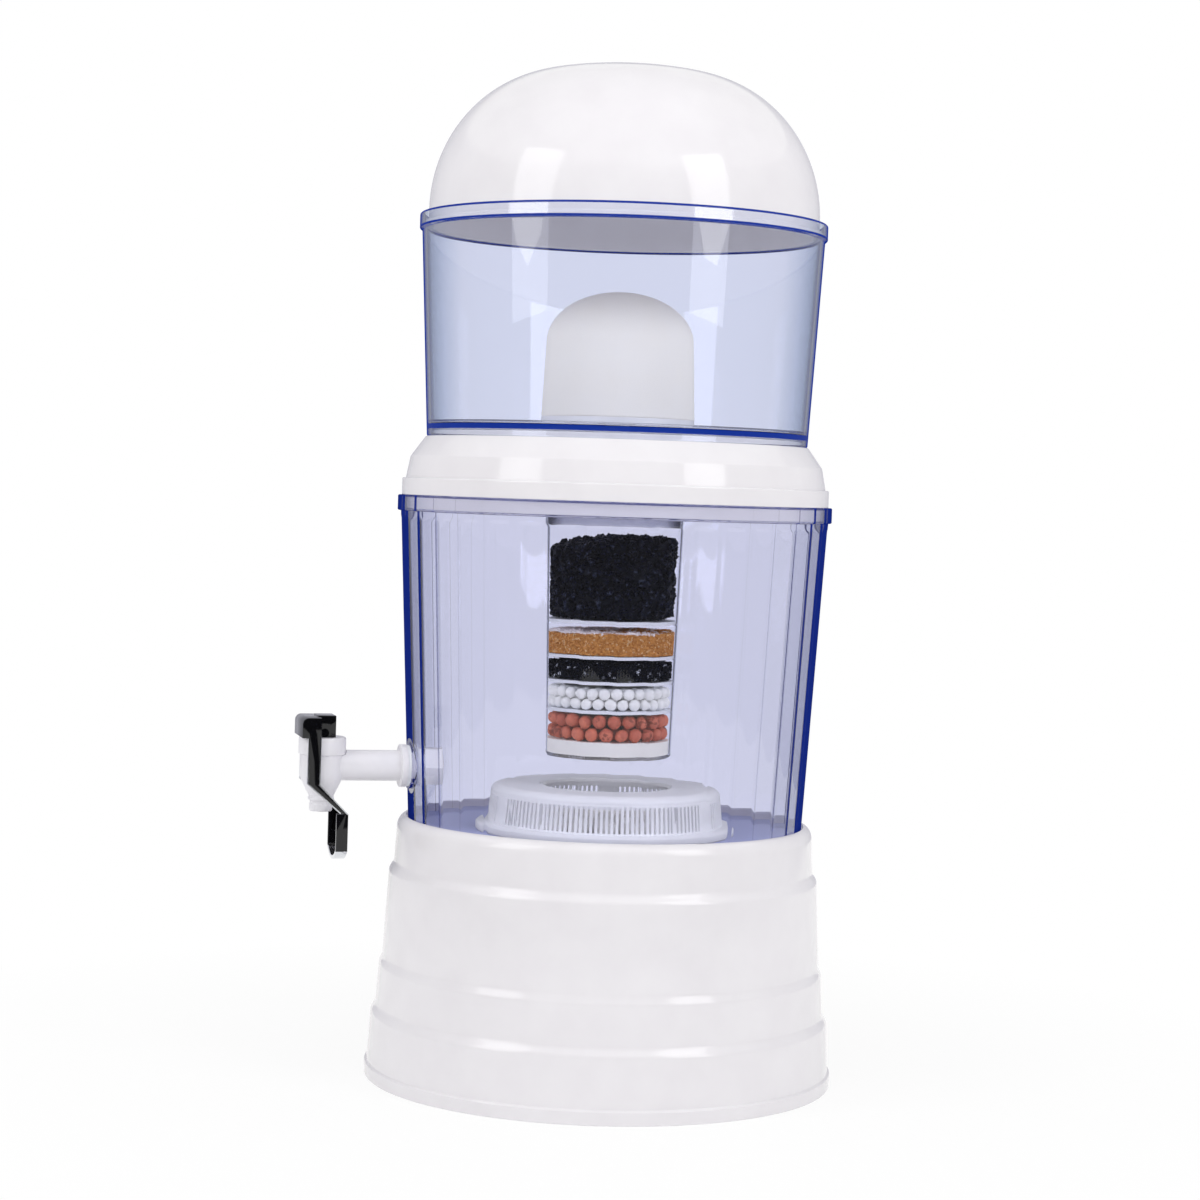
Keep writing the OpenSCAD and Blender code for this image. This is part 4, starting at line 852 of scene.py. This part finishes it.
def waves(x, y, seed, size):
    # an uneven surface from -1 to 1, with humps about size mm across
    turn = random.Random(seed)
    total = 0
    for _ in range(6):
        a, shift, f = turn.uniform(0, 6.28), turn.uniform(0, 6.28), turn.uniform(0.6, 1.7) / size
        total += math.sin((x * math.cos(a) + y * math.sin(a)) * 6.28 * f + shift)
    return total / 6


def carbonTop(x, y):
    # heaped towards the right, lowest at the left
    slope = (8.0 if y < 12 else 3.0) * ((y - 12) / 48) ** 2
    return -2.4 - slope - 1.4 * waves(x, y, 3, 22) - 2.2 * waves(x, y, 4, 8)


def sandTop(x, y):
    return -0.9 - waves(x, y, 5, 34) + 0.02 * y


def blackTop(x, y):
    return -0.5 - 0.45 * waves(x, y, 7, 26)


def crustTop(x, y):
    # patches that have crept up the wall
    height = 0.5 + 2.2 * waves(x, y, 9, 15) + 1.2 * waves(x, y, 10, 7)
    return -1.2 + min(max(height, 0.1), 1.9)


beds = {  # node, radius of a grain and inset of its middle in mm, grains on a square mm,
    # roughness and flatness of a grain, the bed's top, material, seed
    "carbonGrains": ("carbon_bed", 3.1, 3.162, 0.066, 1.1, 0.62, carbonTop, carbonBlack, 11),
    "blackGrains": ("black_bed", 1.5, 1.53, 0.24, 1.1, 0.62, blackTop, mineralBlack, 12),
    "sandGrains": ("sand_bed", 0.6, 0.612, 1.0, 1.1, 0.62, sandTop, sandGold, 13),
}
crust = ("sand_bed", 1.0, 1.0, 0.15, 1.4, 0.6, crustTop, saltWhite, 14)
crustDeep, crustMesh = 2.6, (160, 12)
# painted shade: dark discs under the separators over the balls
shadeDiscs = {"shadeDiscOverWhite": "separator_white", "shadeDiscOverRed": "separator_red"}
shadeDisc = {"radius": 25.5, "thick": 1.5, "under": 0.03}


def makeBed(name, bed, low, replaced, mesh=(96, 14)):
    node, size, inset, perArea, rough, flatness, top, material, seed = bed
    high = heightsOf(node)[1]
    start = moundShape(low, bedRadius, lambda x, y: high + top(x, y), inset, *mesh)
    grown(name, start, grainTree, {
        "Grain Radius": size * mm, "Grains Per Area": perArea / (mm * mm),
        "Roughness Of Shape": rough, "Detail": 1, "Seed": seed, "Flatness": flatness,
        "Material": material}, "upper_unit", replaced, False)


def makeCrustAndShadeDiscs():
    # salt that has crept up the wall above the sand, in uneven patches
    makeBed("saltCrust", crust, heightsOf(crust[0])[1] - crustDeep, (), crustMesh)
    # painted shade: dark discs under the separators over the balls, a dark sheet put where shade is
    # seen over each row of balls
    for name, node in shadeDiscs.items():
        top = heightsOf(node)[0] - shadeDisc["under"]
        under = top - shadeDisc["thick"]
        turnedPiece(name, [(0, top), (0, under), (shadeDisc["radius"], under, 0.5),
                           (shadeDisc["radius"], top, 0.3)], shadeDiscDark, "upper_unit", (), 0.4, 96)


balls = {  # node, body, width, rows, jitter, least share of the width each way, roughness,
    # material, seeds of the places and of the shapes
    "redClayBalls": ("red_balls", "upper_unit", 8.3, 2, 0.5, (0.84, 0.92, 0.80), 0.16,
                     redClay, 21, 21),
    "whiteClayBalls": ("white_balls", "upper_unit", 6.9, 2, 0.5, (0.92, 0.92, 0.9), 0.14,
                       whiteClay, 22, 22),
    "riverStones": ("mineral_stones", "case", 14.0, 1, 0.4, (0.86, 0.9, 0.7), 0.35,
                    stoneGrey, 23, 24),
}
stonesReach = 65.0  # from the axis to the slotted case's wall


def ballPlaces(z, diameter, reach, rows, jitter, seed):
    # rings of balls from the wall inwards; an upper row lies in the gaps of the lower
    turn = random.Random(seed)
    gap, rowRise = 0.15, 0.87
    pitch = diameter + gap
    places = []
    outer = reach - diameter / 2
    for row in range(rows):
        for k in range(int(outer / pitch) + 1):
            ring = outer - k * pitch
            count = 1 if ring < pitch / 2 else int(math.pi / math.asin(pitch / 2 / ring))
            if count == 1 and row > 0:
                continue
            phase = turn.uniform(0, 6.28) if k > 0 else (0.5 * row / count) * 6.283
            for i in range(count):
                a = phase + 2 * math.pi * i / count
                r = (ring if count > 1 else 0) - turn.uniform(0, jitter)
                places.append((r * math.cos(a), r * math.sin(a),
                               z + diameter / 2 + row * pitch * rowRise
                               + (turn.uniform(-jitter, jitter) * 0.8 if row else 0)))
    return places


def makeBalls():
    for name, kind in balls.items():
        node, body, width, rows, jitter, smallest, rough, material, placeSeed, seed = kind
        low = heightsOf(node)[0]
        reach = stonesReach if body == "case" else bedRadius(low)
        places = ballPlaces(low, width, reach, rows, jitter, placeSeed)
        grown(name, (places, []), ballTree, {
            "Ball Radius": width / 2 * mm, "Roughness Of Shape": rough, "Detail": 3,
            "Smallest": smallest, "Seed": seed, "Material": material}, body, (node,))


makeCartridgeCase()
for name, bed in beds.items():
    makeBed(name, bed, heightsOf(bed[0])[0], (bed[0],))
makeBalls()
makeCrustAndShadeDiscs()
print("cartridge filled")


# tap, lever and stone case: the solids with their edges rounded
beadedCopy("tapBodyMoulding", "tap_body", tapWhite, "lower_unit", 0.3, 28)
beadedCopy("tapBonnetCap", "tap_bonnet", tapWhite, "lower_unit", 0.5, 35)
beadedCopy("tapNutHex", "tap_nut", fittingWhite, "lower_unit", 0.4, 35)
beadedCopy("leverHandle", "tap_lever", leverBlack, "lever", 0.45, 35, 3)
beadedCopy("leverTipCap", "lever_tip", leverBright, "lever", 0.5, 35, 3)
beadedCopy("stoneCaseShell", "stone_case", frostedWhite, "case", 0.2, 35, 1)
print("tap, lever and stone case made")

# the solids that keep their shape
finishes = (
    (siliconeClear, ("tap_gasket_outer", "tap_gasket_inner", "seat_cup", "floor_gasket_top",
                     "floor_gasket_under", "cap_seal", "ring_seal")),
    (springSteel, ("valve_spring",)), (tapWhite, ("valve_stem",)), (leverBlack, ("lever_pin",)),
    (leverBright, ("lever_trim",)), (frostedWhite, ("stone_case_lid",)),
    (fittingWhite, ("dome_plate", "floor_nut")), (capGrey, ("cartridge_cap",)),
    (padFibre, ("bottom_pad",)),
    (sieveWhite, ("separator_red", "separator_white", "separator_black", "separator_sand")))
for material, solids in finishes:
    for node in solids:
        nodes[node].data.materials.clear()
        nodes[node].data.materials.append(material)
print("solids finished:", sum(len(solids) for material, solids in finishes))


# floor, light and camera
studio = {"worldLevel": 0.49, "mirrored": 0.28, "shadowShare": 0.12, "shadowFrom": 0.15,
          "shadowTo": 0.5, "floorRadius": 5000, "clothRadius": 1480, "clothFrom": 1,
          "clothTo": 1250, "turn": 14.3, "distance": 1637.0, "sideways": -6.9, "height": 343.5,
          "pitch": 2.25, "roll": 1.88, "lens": 84.0}
lamps = {  # degrees to the right of the camera and up, seen from the object; distance, width
    # and height; radiance; the height aimed at; whether it is mirrored as a window
    "softboxLeft": (-53, 23, 1.42, 0.58, 1.00, 3.6, 0.30, True),
    "softboxRight": (48.5, 23, 1.42, 0.56, 1.00, 4.2, 0.30, True),
    "fillLeft": (-100, 10, 1.5, 0.9, 1.2, 0.3, 0.30, False),
    "fillRight": (100, 10, 1.5, 0.9, 1.2, 0.3, 0.30, False),
    "fillTop": (0, 68, 1.5, 0.9, 0.9, 1.9, 0.40, False),
}

# right across the view, and forward into it
turn = math.radians(studio["turn"])
viewRight = Vector((math.sin(turn), math.cos(turn), 0))
viewIn = Vector((-math.cos(turn), math.sin(turn), 0))


def seenBy(add):
    # 1 on the rays that see, of the camera, of mirrors and through clear walls, and the level
    # that they see, dulled in what a wall's inner face mirrors, so that it shows no veil
    path = add("LightPath").outputs
    mirrored = add("Math", {0: path["Is Camera Ray"], 1: path["Is Glossy Ray"]}, "MAXIMUM")
    seen = add("Math", {0: mirrored, 1: path["Is Transmission Ray"]}, "MAXIMUM")
    again = add("Math", {0: path["Glossy Depth"], 1: path["Is Transmission Ray"]}, "MULTIPLY")
    return seen, add("MapRange", {"Value": again, "To Min": 1.0, "To Max": studio["mirrored"]})


def makeFloor():
    material, add, place = newMaterial("pale paper floor")
    reach = add("VectorMath", {0: place}, "LENGTH")
    far = add("MapRange", {
        "Value": reach, "From Min": studio["shadowFrom"], "From Max": studio["shadowTo"],
        "To Min": studio["shadowShare"], "To Max": 0.0})
    colour = mottled(add, place, "#f3f3f3", "#f9f9f9", 40, 3.0)[1]
    paper = add("BsdfDiffuse", {"Color": colour})
    seen, level = seenBy(add)
    glow = add("Emission", {"Color": white, "Strength": level})
    shown = add("MixShader", {0: far, 1: glow, 2: paper})
    add("OutputMaterial", {"Surface": add("MixShader", {0: seen, 1: paper, 2: shown})})
    around = 64
    points = [(0, 0, 0)] + ringOf(studio["floorRadius"], 0, around)
    faces = [[0, k + 1, (k + 1) % around + 1] for k in range(around)]
    solidPiece("paperFloor", points, faces, material, None, (), False)


def makeShade():
    # studio cloth that only mirrored rays meet: dark on the camera's side, so that clear walls
    # stay clear, and pale behind the set, so that white edges stay white
    material, add, place = newMaterial("studio cloth")
    behind = add("VectorMath", {0: place, 1: tuple(viewIn)}, "DOT_PRODUCT")
    pale = add("MapRange", {"Value": behind, "From Min": -0.5, "From Max": 0.7})
    weave = add("TexNoise", {"Vector": place, "Scale": 3.0})
    dark = add("Mix", {0: weave, 6: hexColour("#242428"), 7: hexColour("#323236")},
               data_type="RGBA")
    colour = add("Mix", {0: pale, 6: dark.outputs[2], 7: hexColour("#c0c0ca")},
                 data_type="RGBA")
    add("OutputMaterial", {"Surface": add("Emission", {"Color": colour})})
    around = 48
    points = [point for z in (studio["clothFrom"], studio["clothTo"])
              for point in ringOf(studio["clothRadius"], z, around)]
    faces = [[k, k + around, (k + 1) % around + around, (k + 1) % around] for k in range(around)]
    cloth = solidPiece("studioCloth", points, faces, material, None, (), False)
    cloth.visible_camera = cloth.visible_diffuse = cloth.visible_transmission = False
    cloth.visible_shadow = cloth.visible_volume_scatter = False


def makeWorld():
    world = bpy.data.worlds.new("white studio")
    scene.world = world
    world.use_nodes = True
    world.node_tree.nodes.clear()
    add = partial(addNode, world.node_tree)
    seen, dull = seenBy(add)
    level = add("MapRange", {"Value": seen, "To Min": studio["worldLevel"], "To Max": 1.0})
    strength = add("Math", {0: level, 1: dull}, "MULTIPLY")
    sky = add("Background", {"Color": white, "Strength": strength})
    add("OutputWorld", {"Surface": sky})


def makeLamp(name, side, rise, distance, width, height, radiance, aim, window):
    a, e = math.radians(side), math.radians(rise)
    towards = (viewRight * math.sin(a) - viewIn * math.cos(a)) * math.cos(e) + Vector(
        (0, 0, math.sin(e)))
    lamp = bpy.data.lights.new(name, "AREA")
    lamp.shape, lamp.size, lamp.size_y = "RECTANGLE", width, height
    lamp.energy = radiance * math.pi * width * height
    holder = bpy.data.objects.new(name, lamp)
    scene.collection.objects.link(holder)
    holder.location = Vector((0, 0, aim)) + towards * distance
    holder.rotation_mode = "QUATERNION"
    holder.rotation_quaternion = towards.to_track_quat("Z", "Y")
    holder.visible_camera = False
    holder.visible_glossy = holder.visible_transmission = window


def makeCamera():
    p, r = math.radians(studio["pitch"]), math.radians(studio["roll"])
    forward = viewIn * math.cos(p) - Vector((0, 0, math.sin(p)))
    up = viewIn * math.sin(p) + Vector((0, 0, math.cos(p)))
    acrossAxis = viewRight * math.cos(r) + up * math.sin(r)
    upAxis = up * math.cos(r) - viewRight * math.sin(r)
    turned = Matrix((acrossAxis, upAxis, -forward)).transposed()
    lens = bpy.data.cameras.new("camera")
    lens.lens, lens.sensor_width = studio["lens"], 36.0
    lens.clip_start, lens.clip_end = 0.05, 50.0
    camera = bpy.data.objects.new("camera", lens)
    scene.collection.objects.link(camera)
    spot = (viewRight * studio["sideways"] - viewIn * studio["distance"]) * mm
    camera.matrix_world = Matrix.Translation(
        spot + Vector((0, 0, studio["height"] * mm))) @ turned.to_4x4()
    scene.camera = camera


makeFloor()
makeShade()
makeWorld()
for name, values in lamps.items():
    makeLamp(name, *values)
makeCamera()
scene.view_settings.view_transform = "Standard"
rays = scene.cycles
rays.max_bounces = rays.transmission_bounces = rays.transparent_max_bounces = 24
rays.glossy_bounces, rays.diffuse_bounces = 6, 8
print("floor, lamps and camera set")
